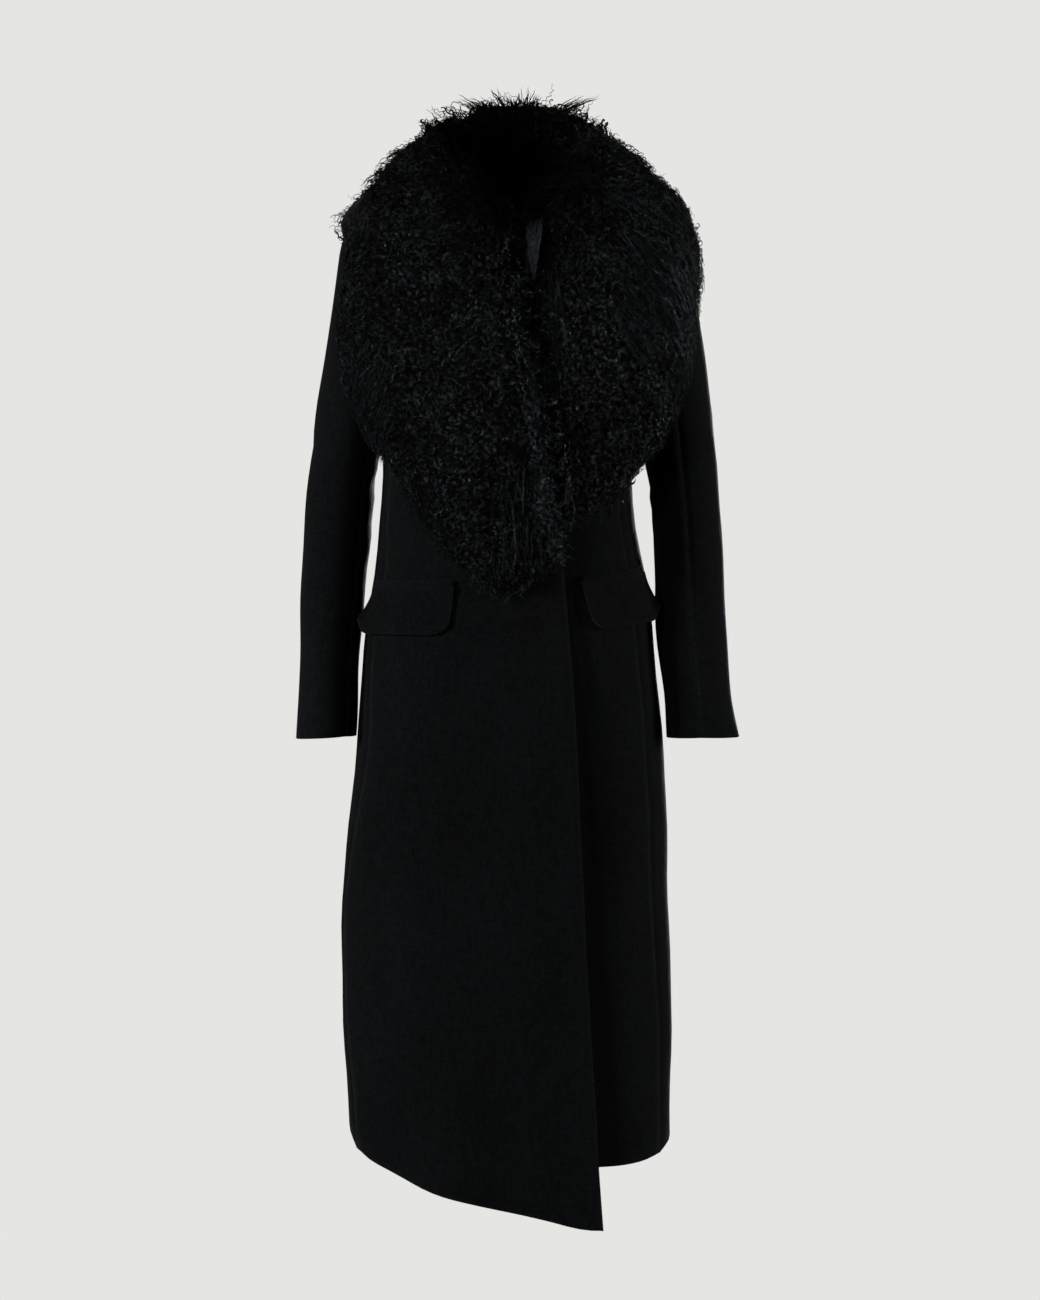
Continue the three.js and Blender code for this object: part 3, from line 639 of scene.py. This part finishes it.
# The kinds of hair: wavy locks that carry the form, curls over them, long straighter strands, loose hair.
hair = {
    "locks": {
        "steps": 12, "rings": 13, "length": (0.030, 0.050), "depth": 0.008, "rise": (-0.004, 0.000),
        "width": (0.0009, 0.0021), "flat": 0.5, "wave": (0.011, 0.016), "deep": (0.0012, 0.0024),
        "jitter": 22, "swirl": 40, "tone": (0.0, 0.8), "sleek": 0.6,
    },
    "curls": {
        "steps": 6, "rings": 12, "length": (0.014, 0.025), "depth": 0.005, "rise": (-0.003, 0.002),
        "width": (0.00045, 0.00095), "flat": 0.8, "wave": (0.0066, 0.0092), "deep": (0.0014, 0.0030),
        "jitter": 80, "swirl": 70, "tone": (0.0, 1.0), "sleek": 0.0,
    },
    "strands": {
        "steps": 9, "rings": 10, "length": (0.036, 0.068), "depth": 0.006, "rise": (-0.001, 0.004),
        "width": (0.00035, 0.00080), "flat": 0.7, "wave": (0.018, 0.030), "deep": (0.0003, 0.0012),
        "jitter": 10, "swirl": 14, "tone": (0.5, 1.4), "sleek": 1.0, "shade": 0.1,
    },
    "wisps": {
        "steps": 7, "rings": 9, "length": (0.007, 0.014), "depth": 0.003,
        "width": (0.0005, 0.0010), "flat": 0.9, "wave": (0.012, 0.022), "deep": (0.0004, 0.0014),
        "swirl": 20, "tone": (0.0, 0.6), "sleek": 0.8,
    },
    "fringe": {
        "steps": 7, "rings": 11, "length": (0.012, 0.025), "depth": 0.004,
        "width": (0.0003, 0.0007), "flat": 0.8, "wave": (0.0065, 0.011), "deep": (0.0010, 0.0022),
        "swirl": 60, "tone": (0.2, 1.0), "sleek": 0.3,
    },
    "tufts": {
        "steps": 9, "rings": 16, "length": (0.030, 0.062), "depth": 0.004,
        "width": (0.0005, 0.0011), "flat": 0.7, "wave": (0.009, 0.013), "deep": (0.0012, 0.0024),
        "swirl": 45, "tone": (0.0, 0.7), "sleek": 0.6,
    },
}
fur = {
    "spacing": 0.68, "tries": 6, "clothNear": 0.009, "cloudSize": 26.0, "turnRate": 0.4,
    "snap": 0.55, "follow": 0.3, "strandNear": 0.02, "curlFrom": (0.05, 0.4), "bob": 0.8,
    "riseRate": 1.4, "rootWide": 5, "tipStart": 2.4, "tipBlunt": 0.7, "leastWide": 0.06,
}
# The close curls under the hair: how deep they lie and are carved, and their size.
pelt = {
    "levels": 3, "deep": 0.0040, "mostShare": 0.4, "inside": 0.0005, "thick": 0.004,
    "warpSize": 90, "warp": 0.004, "curlSize": 150, "curlDeep": 0.0060, "valley": 1.6,
}
# Painted shade on the fur: the middle of the front and the inside of the neck, where shade falls, and more
# toward the top, where less light falls, with random patches. The middle of the collar has its half width
# by height.
shadeZ = (-0.20, -0.14, -0.09, -0.04, 0.05, 0.10)
shadeHalf = (-0.03, 0.02, 0.070, 0.086, 0.082, 0.080)
paintedShade = {"place": 0.004, "middle": 0.62, "top": 0.16, "all": 0.09, "most": 0.90}
randomPatches = ((15, 0.7), (55, 0.8))
# How much shorter the pile is over the shoulder points, by height, and at the top of the collar.
trim = {"middle": 0.006, "crown": 0.0075, "crownHalf": 0.070, "corner": 0.012}
trimZ = (-0.300, -0.200, -0.085, -0.060, -0.035, -0.015, 0.0, 0.030, 0.050, 0.075)
trimDeep = {
    "right": (0.0, 0.0, 0.006, 0.024, 0.014, 0.007, 0.001, -0.009, -0.003, 0.010),
    "left": (0.0, -0.005, -0.007, 0.002, 0.001, 0.003, -0.001, -0.009, -0.002, 0.006),
}
combing = {
    "half": 0.10, "forward": -0.15, "behind": (-0.015, 0.045), "back": 0.1,
    "leanAt": 0.15, "lean": 70, "mostLean": 75, "insideZ": -0.04, "facing": 0.25, "flat": 0.25,
}


def comb(point, normal):
    # the way the hair is brushed at a point of the collar
    x, y, z = point
    side = max(-1.0, min(1.0, (x - float(np.interp(z, partZ, partX))) / combing["half"]))
    turn = math.radians(side * float(np.interp(z, combZ, combTurn)))
    front = Vector((math.sin(turn), combing["forward"], -math.cos(turn)))
    most = combing["mostLean"]
    lean = math.radians(max(-most, min(most, x / combing["leanAt"] * combing["lean"])))
    back = Vector((math.sin(lean), combing["back"], -math.cos(lean)))
    way = front.lerp(back, float(ease(y, *combing["behind"])))
    toNeck = Vector((-x, -y, 0.0)).normalized()
    if y > -0.01 and normal.dot(toNeck) > combing["facing"] and z > combing["insideZ"]:
        way = Vector((x * 4, 0.1, 1.0))  # inside the neck it is brushed up, over the fold
    way = way - normal * way.dot(normal)
    if way.length < combing["flat"]:
        way = way + Vector((x * 3, 0.5, 0.0))
        way = way - normal * way.dot(normal)
    return way.normalized()


def shoulderTrim(point, normal):
    # how much shorter the pile is at a point that faces up, forward or away from the middle
    x, _, z = point
    deep = trimDeep["right" if x < 0 else "left"]
    aside = abs(x - trim["middle"])
    crown = trim["crown"] * ease(z, 0.045, 0.078) * ease(trim["crownHalf"] - aside, 0.0, 0.04)
    corner = trim["corner"] * ease(z, 0.050, 0.075) * ease(aside, 0.045, 0.080)
    outward = normal.dot(Vector((4 * x, 0, 1)).normalized())
    shorter = np.interp(z, trimZ, deep) * ease(abs(x), 0.075, 0.115) - crown + corner
    return float(shorter * ease(outward, -0.5, -0.1))


def shadeAt(point):
    # painted shade on the hair: most in the middle of the front and inside the neck, where shade falls,
    # more toward the top, where less light reaches, and random soft patches
    x, y, z = point
    half = float(np.interp(z, shadeZ, shadeHalf))
    middle = float(ease(half - abs(x - paintedShade["place"]), -0.050, 0.034)) * float(ease(-y, -0.06, -0.03))
    top = paintedShade["top"] * float(ease(z, -0.07, 0.03))
    patch = sum(noise.noise(Vector(point) * size) * share for size, share in randomPatches)
    return max(0.0, min(paintedShade["most"], middle * paintedShade["middle"] + paintedShade["all"] + top + patch))


offFace = 0.0002  # a ray starts this far off its face


def outerFaces(nodeName, clothTree):
    # the faces of a fur solid that show: those with no cloth close over them
    mesh = bmesh.new()
    mesh.from_mesh(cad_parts[nodeName].data)
    bmesh.ops.remove_doubles(mesh, verts=mesh.verts, dist=sameSpot)
    mesh.normal_update()
    kept = []
    for face in mesh.faces:
        centre = face.calc_center_median()
        hit = clothTree.ray_cast(centre + face.normal * offFace, face.normal, fur["clothNear"])
        if hit[0] is None:
            kept.append(([v.co.copy() for v in face.verts], face.normal.copy(), face.calc_area()))
    mesh.free()
    return kept


def scatter(faces, count, rng):
    # roots spread over the faces, none closer than the spacing that the count allows
    areas = np.array([a for _, _, a in faces])
    spacing = fur["spacing"] * math.sqrt(areas.sum() / count)
    around = [(i, j, k) for i in (-1, 0, 1) for j in (-1, 0, 1) for k in (-1, 0, 1)]
    cells, roots = {}, []
    for i in rng.choice(len(faces), size=count * fur["tries"], p=areas / areas.sum()):
        corners, normal, _ = faces[i]
        r1, r2 = math.sqrt(rng.random()), rng.random()
        spot = corners[0] * (1 - r1) + corners[1] * (r1 * (1 - r2)) + corners[2] * (r1 * r2)
        key = tuple(int(math.floor(c / spacing)) for c in spot)
        near = (cells.get((key[0] + a, key[1] + b, key[2] + c), ()) for a, b, c in around)
        if any((spot - other).length < spacing for group in near for other in group):
            continue
        cells.setdefault(key, []).append(spot)
        roots.append((spot, normal.copy()))
        if len(roots) >= count:
            break
    return roots


def hairPath(root, normal, length, kind, rise, turned, surface, straight=False):
    # a hair's middle line: out of the pelt, then along the fur's surface, the way the hair is
    # brushed there or, for a straight one, at its own angle from straight down
    point, up = root.copy(), normal.copy()
    drop = shoulderTrim(root, normal)
    way = Vector((math.sin(turned), -0.1, -math.cos(turned))) if straight else comb(point, up)
    path, ups = [], []
    for j in range(kind["steps"] + 1):
        risen = math.sin(math.pi / 2 * min(1.0, fur["riseRate"] * (j / kind["steps"])))
        path.append(point + up * (-kind["depth"] + (kind["depth"] + rise) * risen - drop))
        ups.append(up.copy())
        if straight:
            heading = (way - up * way.dot(up)).normalized()
        else:
            swirl = noise.noise(point * fur["cloudSize"] + Vector((turned, 0, 0))) * kind["swirl"]
            heading = Quaternion(up, math.radians(turned + swirl)) @ way
        point = point + heading * (length / kind["steps"])
        near, nearNormal, _, _ = surface.find_nearest(point)
        if near is not None and not (straight and (near - point).length >= fur["strandNear"]):
            point = point.lerp(near, fur["snap"])
            if nearNormal.dot(up) > 0:
                up = up.lerp(nearNormal, fur["follow"]).normalized()
        if not straight:
            way = way.lerp(comb(point, up), fur["turnRate"])
            way = (way - up * way.dot(up)).normalized()
    return path, ups


def freePath(root, heading, length, kind, droop, seed):
    # a hair that hangs or stands free, bending with its weight
    steps = kind["steps"]
    way = heading.normalized()
    point = root - way * kind["depth"]
    path, ups = [], []
    for j in range(steps + 1):
        path.append(point.copy())
        side = way.orthogonal().normalized()
        ups.append(side)
        point = point + way * ((length + kind["depth"]) / steps)
        spot = root * fur["cloudSize"] + Vector((seed, j * 0.5, 0))
        bend = noise.noise_vector(spot) * math.radians(kind["swirl"])
        way = (way + bend + Vector((0, 0, -droop))).normalized()
    return path, ups


def resampled(lines, rings):
    # every line with the same number of points, evenly along it
    steps = lines.shape[1] - 1
    at = np.linspace(0, steps, rings)
    low = np.minimum(at.astype(int), steps - 1)
    share = (at - low)[None, :, None]
    return lines[:, low] * (1 - share) + lines[:, low + 1] * share


def unit(vectors):
    return vectors / (np.linalg.norm(vectors, axis=2)[..., None] + 1e-12)


def tubes(name, paths, ups, widths, flat, tones, material):
    # three-sided hairs that start and end in a point, all in one mesh
    count, rings = paths.shape[:2]
    along = unit(np.gradient(paths, axis=1))
    across = unit(np.cross(along, ups))
    up = np.cross(across, along)
    inner = slice(1, rings - 1)
    s = np.linspace(0, 1, rings)[inner]
    tip = (1 - s ** fur["tipStart"]) ** fur["tipBlunt"]
    shape = np.minimum(1, s * fur["rootWide"]) * tip + fur["leastWide"]
    width = (widths[:, None] * shape[None])[..., None]
    turns = [math.radians(a) for a in (90, 210, 330)]
    wide, high = across[:, inner] * width, up[:, inner] * width * flat
    sides = [wide * math.cos(a) + high * math.sin(a) for a in turns]
    ringPoints = np.stack([paths[:, inner] + side for side in sides], axis=2)
    size = 3 * (rings - 2) + 2
    verts = np.empty((count, size, 3))
    verts[:, 0], verts[:, -1] = paths[:, 0], paths[:, -1]
    verts[:, 1:-1] = ringPoints.reshape(count, -1, 3)
    faces = []
    for k in range(3):
        n = (k + 1) % 3
        faces += [(0, 1 + n, 1 + k), (size - 1, size - 4 + k, size - 4 + n)]
        for j in range(rings - 3):
            a, b = 1 + 3 * j + k, 1 + 3 * j + n
            faces += [(a, b, b + 3), (a, b + 3, a + 3)]
    every = (np.array(faces)[None] + size * np.arange(count)[:, None, None]).reshape(-1, 3)
    mesh = bpy.data.meshes.new(name)
    mesh.vertices.add(count * size)
    mesh.vertices.foreach_set("co", verts.ravel())
    mesh.loops.add(every.size)
    mesh.loops.foreach_set("vertex_index", every.ravel())
    mesh.polygons.add(len(every))
    mesh.polygons.foreach_set("loop_start", np.arange(0, every.size, 3))
    mesh.polygons.foreach_set("use_smooth", np.ones(len(every), bool))
    mesh.update(calc_edges=True)
    mesh.validate()
    piece = bpy.data.objects.new(name, mesh)
    bpy.context.collection.objects.link(piece)
    mesh.materials.append(material)
    gone = np.linalg.norm(np.diff(paths, axis=1), axis=2).cumsum(1)
    far = np.concatenate([np.zeros((count, 1)), np.repeat(gone[:, :-1], 3, axis=1), gone[:, -1:]], 1)
    aside = np.tile([math.cos(a) for a in turns], rings - 2)
    setMark(piece, "along", far.ravel())
    setMark(piece, "reach", np.tile(np.concatenate([[0.0], np.repeat(s, 3), [1.0]]), count))
    setMark(piece, "across", np.tile(np.concatenate([[0.0], aside, [0.0]]), count))
    setMark(piece, "tone", np.repeat(tones, size))
    return piece, size


def furRow(piece, nodeName):
    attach(piece, "root")
    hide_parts(nodeName)
    print("fur:", piece.name, len(piece.data.polygons), "faces")


def addPelt(key, nodeName, material):
    # the close curls under the hair, a little inside the fur's solid
    piece = newPiece(f"furPelt{key}", nodeName)
    subdivide(piece, pelt["levels"])
    mesh = bmesh.new()
    mesh.from_mesh(piece.data)
    mesh.normal_update()
    tree = BVHTree.FromBMesh(mesh)
    moved = []
    for vert in mesh.verts:
        place, normal = vert.co, vert.normal
        hit = tree.ray_cast(place - normal * pelt["inside"], -normal)
        thick = hit[3] if hit[0] is not None else pelt["thick"]
        warped = place + noise.noise_vector(place * pelt["warpSize"]) * pelt["warp"]
        curl = 0.5 - abs(noise.noise(warped * pelt["curlSize"])) * pelt["valley"]
        inward = pelt["deep"] + shoulderTrim(place, normal) - curl * pelt["curlDeep"]
        inward = min(inward, pelt["mostShare"] * thick)
        moved.append(place - normal * inward)
    for vert, place in zip(mesh.verts, moved):
        vert.co = place
    mesh.to_mesh(piece.data)
    mesh.free()
    dress(piece, material)
    setMark(piece, "shade", [shadeAt(place) for place in moved])
    furRow(piece, nodeName)


def wind(name, lines, kind, material, rng, nodeName):
    # one mesh of hair of a kind, each hair wound about its middle line
    paths = resampled(np.array([path for path, _ in lines]), kind["rings"])
    ups = unit(resampled(np.array([ups for _, ups in lines]), kind["rings"]))
    count = len(paths)
    across = unit(np.cross(unit(np.gradient(paths, axis=1)), ups))
    gone = np.linalg.norm(np.diff(paths, axis=1, prepend=paths[:, :1]), axis=2).cumsum(1)
    wave, deep = rng.uniform(*kind["wave"], (count, 1)), rng.uniform(*kind["deep"], (count, 1))
    turn = 2 * np.pi * gone / wave + rng.uniform(0, 2 * np.pi, (count, 1))
    grown = deep * ease(np.linspace(0, 1, kind["rings"]), *fur["curlFrom"])[None]
    hand = rng.choice((-1, 1), (count, 1))
    swing, bob = np.sin(turn) * grown * hand, np.cos(turn) * fur["bob"] * grown
    wound = paths + across * swing[..., None] + ups * bob[..., None]
    widths, tones = rng.uniform(*kind["width"], count), rng.uniform(*kind["tone"], count)
    piece, size = tubes(name, wound, ups, widths, kind["flat"], tones, material)
    setMark(piece, "shade", np.repeat([kind.get("shade", shadeAt(path[0])) for path in paths], size))
    setMark(piece, "sleek", np.full(count * size, kind["sleek"]))
    furRow(piece, nodeName)


def grow(name, roots, kind, surface, material, rng, nodeName):
    lines = []
    for root, normal in roots:
        length, rise = rng.uniform(*kind["length"]), rng.uniform(*kind["rise"])
        lines.append(hairPath(root, normal, length, kind, rise, rng.normal(0, kind["jitter"]), surface))
    wind(name, lines, kind, material, rng, nodeName)


# Places with longer, straighter hair: middle (x, z), half size, count and angles from straight down.
strandSpots = [
    ((0.150, -0.110), (0.048, 0.090), 460, (30, 66)),
    ((-0.161, -0.252), (0.036, 0.055), 200, (-56, -30)),
    ((0.036, -0.200), (0.017, 0.090), 130, (-8, 14)),
    ((0.030, -0.385), (0.045, 0.050), 170, (-16, 14)),
    ((0.110, -0.069), (0.014, 0.016), 30, (38, 56)),
]
inFront = -0.6  # where a ray from the front starts


def hitBehind(tree, x, z, y=inFront):
    # the first place of the fur behind a point, with its normal
    return tree.ray_cast(Vector((x, y, z)), Vector((0, 1, 0)))[:2]


def looseHair(root, heading, kind, droop, rng, longer=1.0):
    length = rng.uniform(*kind["length"]) * longer
    return freePath(root, heading, length, kind, droop, rng.uniform(0, 9))


def addStrands(furTree, surface, material, rng):
    kind, lines = hair["strands"], []
    for middle, half, count, angles in strandSpots:
        for _ in range(count):
            x = middle[0] + half[0] * rng.uniform(-1, 1)
            z = middle[1] + half[1] * rng.uniform(-1, 1)
            root, normal = hitBehind(furTree, x, z)
            if root is None or root.y > 0.01:
                continue
            turn = math.radians(rng.uniform(*angles) + rng.normal(0, kind["jitter"]))
            length, rise = rng.uniform(*kind["length"]), rng.uniform(*kind["rise"])
            lines.append(hairPath(root, normal, length, kind, rise, turn, surface, straight=True))
    wind("furStrandsFront", lines, kind, material, rng, "lapel_fur_right")


# One straight lock that hangs in front of the parting, coloured pale as a painted sheen on its smooth
# hair.
smoothLock = {
    "x": (0.0130, 0.0340), "endX": 0.0180, "gather": 0.6, "z": (-0.088, -0.068),
    "length": (0.040, 0.070), "beside": 0.012, "lift": 0.005, "uneven": 0.0008, "count": 90,
}


def addSmoothLock(furTree, material, rng):
    kind, lines = {**hair["strands"], "deep": (0.0002, 0.0010), "tone": (-0.6, 1.8), "shade": 0.0}, []
    front = Vector((0, -1, 0))
    for _ in range(smoothLock["count"]):
        x, z = rng.uniform(*smoothLock["x"]), rng.uniform(*smoothLock["z"])
        length = rng.uniform(*smoothLock["length"])
        endX = x + (smoothLock["endX"] - x) * smoothLock["gather"]
        path = []
        for j in range(kind["steps"] + 1):
            s = j / kind["steps"]
            across, down = x + (endX - x) * s, z - length * s
            near = []
            for aside in (-smoothLock["beside"], 0.0, smoothLock["beside"]):
                hit, _ = hitBehind(furTree, across + aside, down)
                near += [hit.y] if hit else []
            uneven = rng.uniform(-smoothLock["uneven"], smoothLock["uneven"])
            lift = smoothLock["lift"] * float(ease(s, 0.0, 0.2)) + uneven
            path.append(Vector((across, min(near, default=0.0) - lift, down)))
        lines.append((path, [front] * len(path)))
    wind("furLockSmooth", lines, kind, material, rng, "lapel_fur_left")


fringe = {
    "count": 1350, "near": 0.010, "lift": 0.25, "stray": 0.32, "straying": 0.7,
    "droop": 0.03, "flatBehind": 0.13,
}


def addFringe(shown, clothTree, material, rng):
    # loose hair that reaches over the cloth all round the collar
    kind, lines = hair["fringe"], []
    rim = []
    for faces in shown.values():
        rim += [face for face in faces if clothTree.find_nearest(face[0][0])[3] < fringe["near"]]
    for root, normal in scatter(rim, fringe["count"], rng):
        stray = Vector(rng.normal(0, fringe["stray"], 3))
        heading = comb(root, normal) + normal * fringe["lift"] + stray * fringe["straying"]
        if root.y > fringe["flatBehind"]:
            heading.y = min(heading.y, 0.0)
        lines.append(looseHair(root, heading, kind, fringe["droop"], rng))
    wind("furFringe", lines, kind, material, rng, "collar_fur_back")


parting = {"count": 860, "z": (-0.445, -0.08), "reach": (0.003, 0.022), "longer": 1.3}


def addPartingHair(furTree, material, rng):
    # curls of both lapels that cross the line between them
    # painted light: these curls have no painted shade and a lighter tone, to lift the shadowed line
    # between the lapels
    kind, lines = {**hair["curls"], "shade": 0.0, "tone": (0.5, 1.3)}, []
    for _ in range(parting["count"]):
        side = int(rng.choice((-1, 1)))
        z = rng.uniform(*parting["z"])
        x = float(np.interp(z, partZ, partX)) + side * rng.uniform(*parting["reach"])
        root, _ = hitBehind(furTree, x, z)
        if root is None:
            continue
        heading = Vector((-side * rng.uniform(0.5, 1.8), rng.uniform(-0.5, -0.05), -1.0))
        lines.append(looseHair(root, heading, kind, 0.0, rng, parting["longer"]))
    wind("furCurlsParting", lines, kind, material, rng, "lapel_fur_left")


neck = {
    "edgeTufts": 420, "liningTufts": 190, "middle": 0.008, "low": -0.085, "high": 0.070,
    "levels": 40, "steps": 120, "step": 0.001, "level": 0.003, "behindEdge": (0.001, 0.016),
    "fall": (5, 75), "droop": 0.05, "liningX": (-0.075, 0.090), "liningZ": (-0.02, 0.085),
    "liningLonger": 1.2, "liningDroop": 0.1,
}


def neckEdge(furTree, z, sign):
    # where the lapel's front edge is at a height, on one side of the neck
    for step in range(1, neck["steps"]):
        x = neck["middle"] + sign * step * neck["step"]
        root, _ = hitBehind(furTree, x, z)
        if root is not None and root.y < -0.005:
            return x
    return None


def addNeckHair(furTree, material, rng):
    # hair that leans in from both front edges and hangs from the lining, and fills the neck
    kind, lines = hair["tufts"], []
    levels = np.linspace(neck["low"], neck["high"], neck["levels"])
    edges = {sign: [(z, neckEdge(furTree, z, sign)) for z in levels] for sign in (-1, 1)}
    for _ in range(neck["edgeTufts"]):
        sign = int(rng.choice((-1, 1)))
        z, edge = edges[sign][rng.integers(len(levels))]
        if edge is None:
            continue
        x = edge + sign * rng.uniform(*neck["behindEdge"])
        root, _ = hitBehind(furTree, x, z + rng.uniform(-neck["level"], neck["level"]))
        if root is None:
            continue
        fall = math.radians(rng.uniform(*neck["fall"]))
        heading = Vector((-sign * math.cos(fall), rng.uniform(-0.25, 0.45), -math.sin(fall)))
        lines.append(looseHair(root, heading, kind, neck["droop"], rng))
    for _ in range(neck["liningTufts"]):
        x, z = rng.uniform(*neck["liningX"]), rng.uniform(*neck["liningZ"])
        root, _ = hitBehind(furTree, x, z, -0.01)
        if root is None or root.y < 0.01:
            continue
        heading = Vector((rng.uniform(-0.5, 0.5), -1.0, rng.uniform(-0.9, 0.25)))
        lines.append(looseHair(root, heading, kind, neck["liningDroop"], rng, neck["liningLonger"]))
    wind("furTuftsNeck", lines, kind, material, rng, "collar_fur_back")


crest = {
    "wisps": 260, "half": 0.062, "y": (-0.03, 0.10), "over": 0.3, "low": 0.045, "droop": 0.06,
    "tuftY": (0.0, 0.05), "lean": 0.6, "bend": 0.09, "tuftDroop": 0.02,
}
# Tufts on top of the collar: place across, lean from upright, length and number of hairs.
topTufts = [
    (-0.030, -80, 0.026, 10), (-0.024, -74, 0.028, 14), (-0.017, -66, 0.030, 14),
    (-0.011, -52, 0.028, 12), (-0.006, -26, 0.030, 14), (0.000, -10, 0.026, 12),
    (0.006, 4, 0.026, 12), (0.012, -6, 0.032, 14), (0.020, 14, 0.022, 14),
    (0.032, 44, 0.026, 14), (0.040, 60, 0.030, 14), (0.047, 70, 0.028, 12),
    (0.053, 78, 0.026, 10),
]


def hitBelow(tree, x, y):
    return tree.ray_cast(Vector((x, y, crest["over"])), Vector((0, 0, -1)))[0]


def addTopWisps(furTree, material, rng):
    # loose hair that stands up along the top of the collar
    kind, lines = hair["wisps"], []
    for _ in range(crest["wisps"]):
        x = neck["middle"] + crest["half"] * float(np.clip(rng.normal(0, 0.5), -1, 1))
        root = hitBelow(furTree, x, rng.uniform(*crest["y"]))
        if root is None or root.z < crest["low"]:
            continue
        heading = Vector((x * 7 + rng.normal(0, 0.35), rng.normal(-0.1, 0.3), 1.0))
        lines.append(looseHair(root, heading, kind, crest["droop"], rng))
    for across, lean, length, count in topTufts:
        seed, y = rng.uniform(0, 9), rng.uniform(*crest["tuftY"])
        for _ in range(count):
            root = hitBelow(furTree, across + rng.normal(0, 0.004), y + rng.normal(0, 0.006))
            if root is None:
                continue
            turn = math.radians(lean * crest["lean"] + rng.normal(0, 9))
            heading = Vector((math.sin(turn), rng.normal(-0.1, 0.15), math.cos(turn)))
            reach, bend = length * rng.uniform(0.6, 1.1), math.radians(lean) * crest["bend"]
            seedHere = seed + rng.uniform(0, 0.4)
            path, ups = freePath(root, heading, reach, kind, crest["tuftDroop"], seedHere)
            path = [p + Vector((bend * j * j * reach / 7, 0, 0)) for j, p in enumerate(path)]
            lines.append((path, ups))
    wind("furWispsTop", lines, kind, material, rng, "collar_fur_back")


def addFur(material, paintedSheenLock, underwool):
    rng = np.random.default_rng(sceneSeed)
    clothVerts, clothFaces = [], []
    for name in clothPieces:
        corners, faces = facesOf(nodeOf(name), len(clothVerts))
        clothVerts += corners
        clothFaces += faces
    clothTree = BVHTree.FromPolygons(clothVerts, clothFaces)
    shown = {key: outerFaces(part["node"], clothTree) for key, part in furNodes.items()}
    furVerts, furFaces = [], []
    for faces in shown.values():
        for corners, _, _ in faces:
            furFaces.append(tuple(range(len(furVerts), len(furVerts) + 3)))
            furVerts += corners
    furTree = BVHTree.FromPolygons(furVerts, furFaces)
    both = clothFaces + [tuple(len(clothVerts) + i for i in face) for face in furFaces]
    surface = BVHTree.FromPolygons(clothVerts + furVerts, both)
    for key, part in furNodes.items():
        node = part["node"]
        addPelt(key, node, underwool)
        for kindName in ("locks", "curls"):
            roots = scatter(shown[key], part[kindName], rng)
            grow(f"fur{kindName.capitalize()}{key}", roots, hair[kindName], surface, material, rng, node)
    addStrands(furTree, surface, material, rng)
    addFringe(shown, clothTree, material, rng)
    addPartingHair(furTree, material, rng)
    addSmoothLock(furTree, paintedSheenLock, rng)
    addNeckHair(furTree, material, rng)
    addTopWisps(furTree, material, rng)


addCamera()
addLamps()
addBackdrop()
addFloor()
print("studio ready")
addCloth(makeWool())
print("cloth ready")
addFur(makeFur("lambFur", furLook["light"]), makeFur("paintedSheenLock", furLook["paintedSheenLock"]), makeUnderwool())
print("fur ready")
added = [o for o in bpy.data.objects if o.type == "MESH" and o.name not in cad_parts]
print("triangles added:", sum(len(p.vertices) - 2 for o in added for p in o.data.polygons))
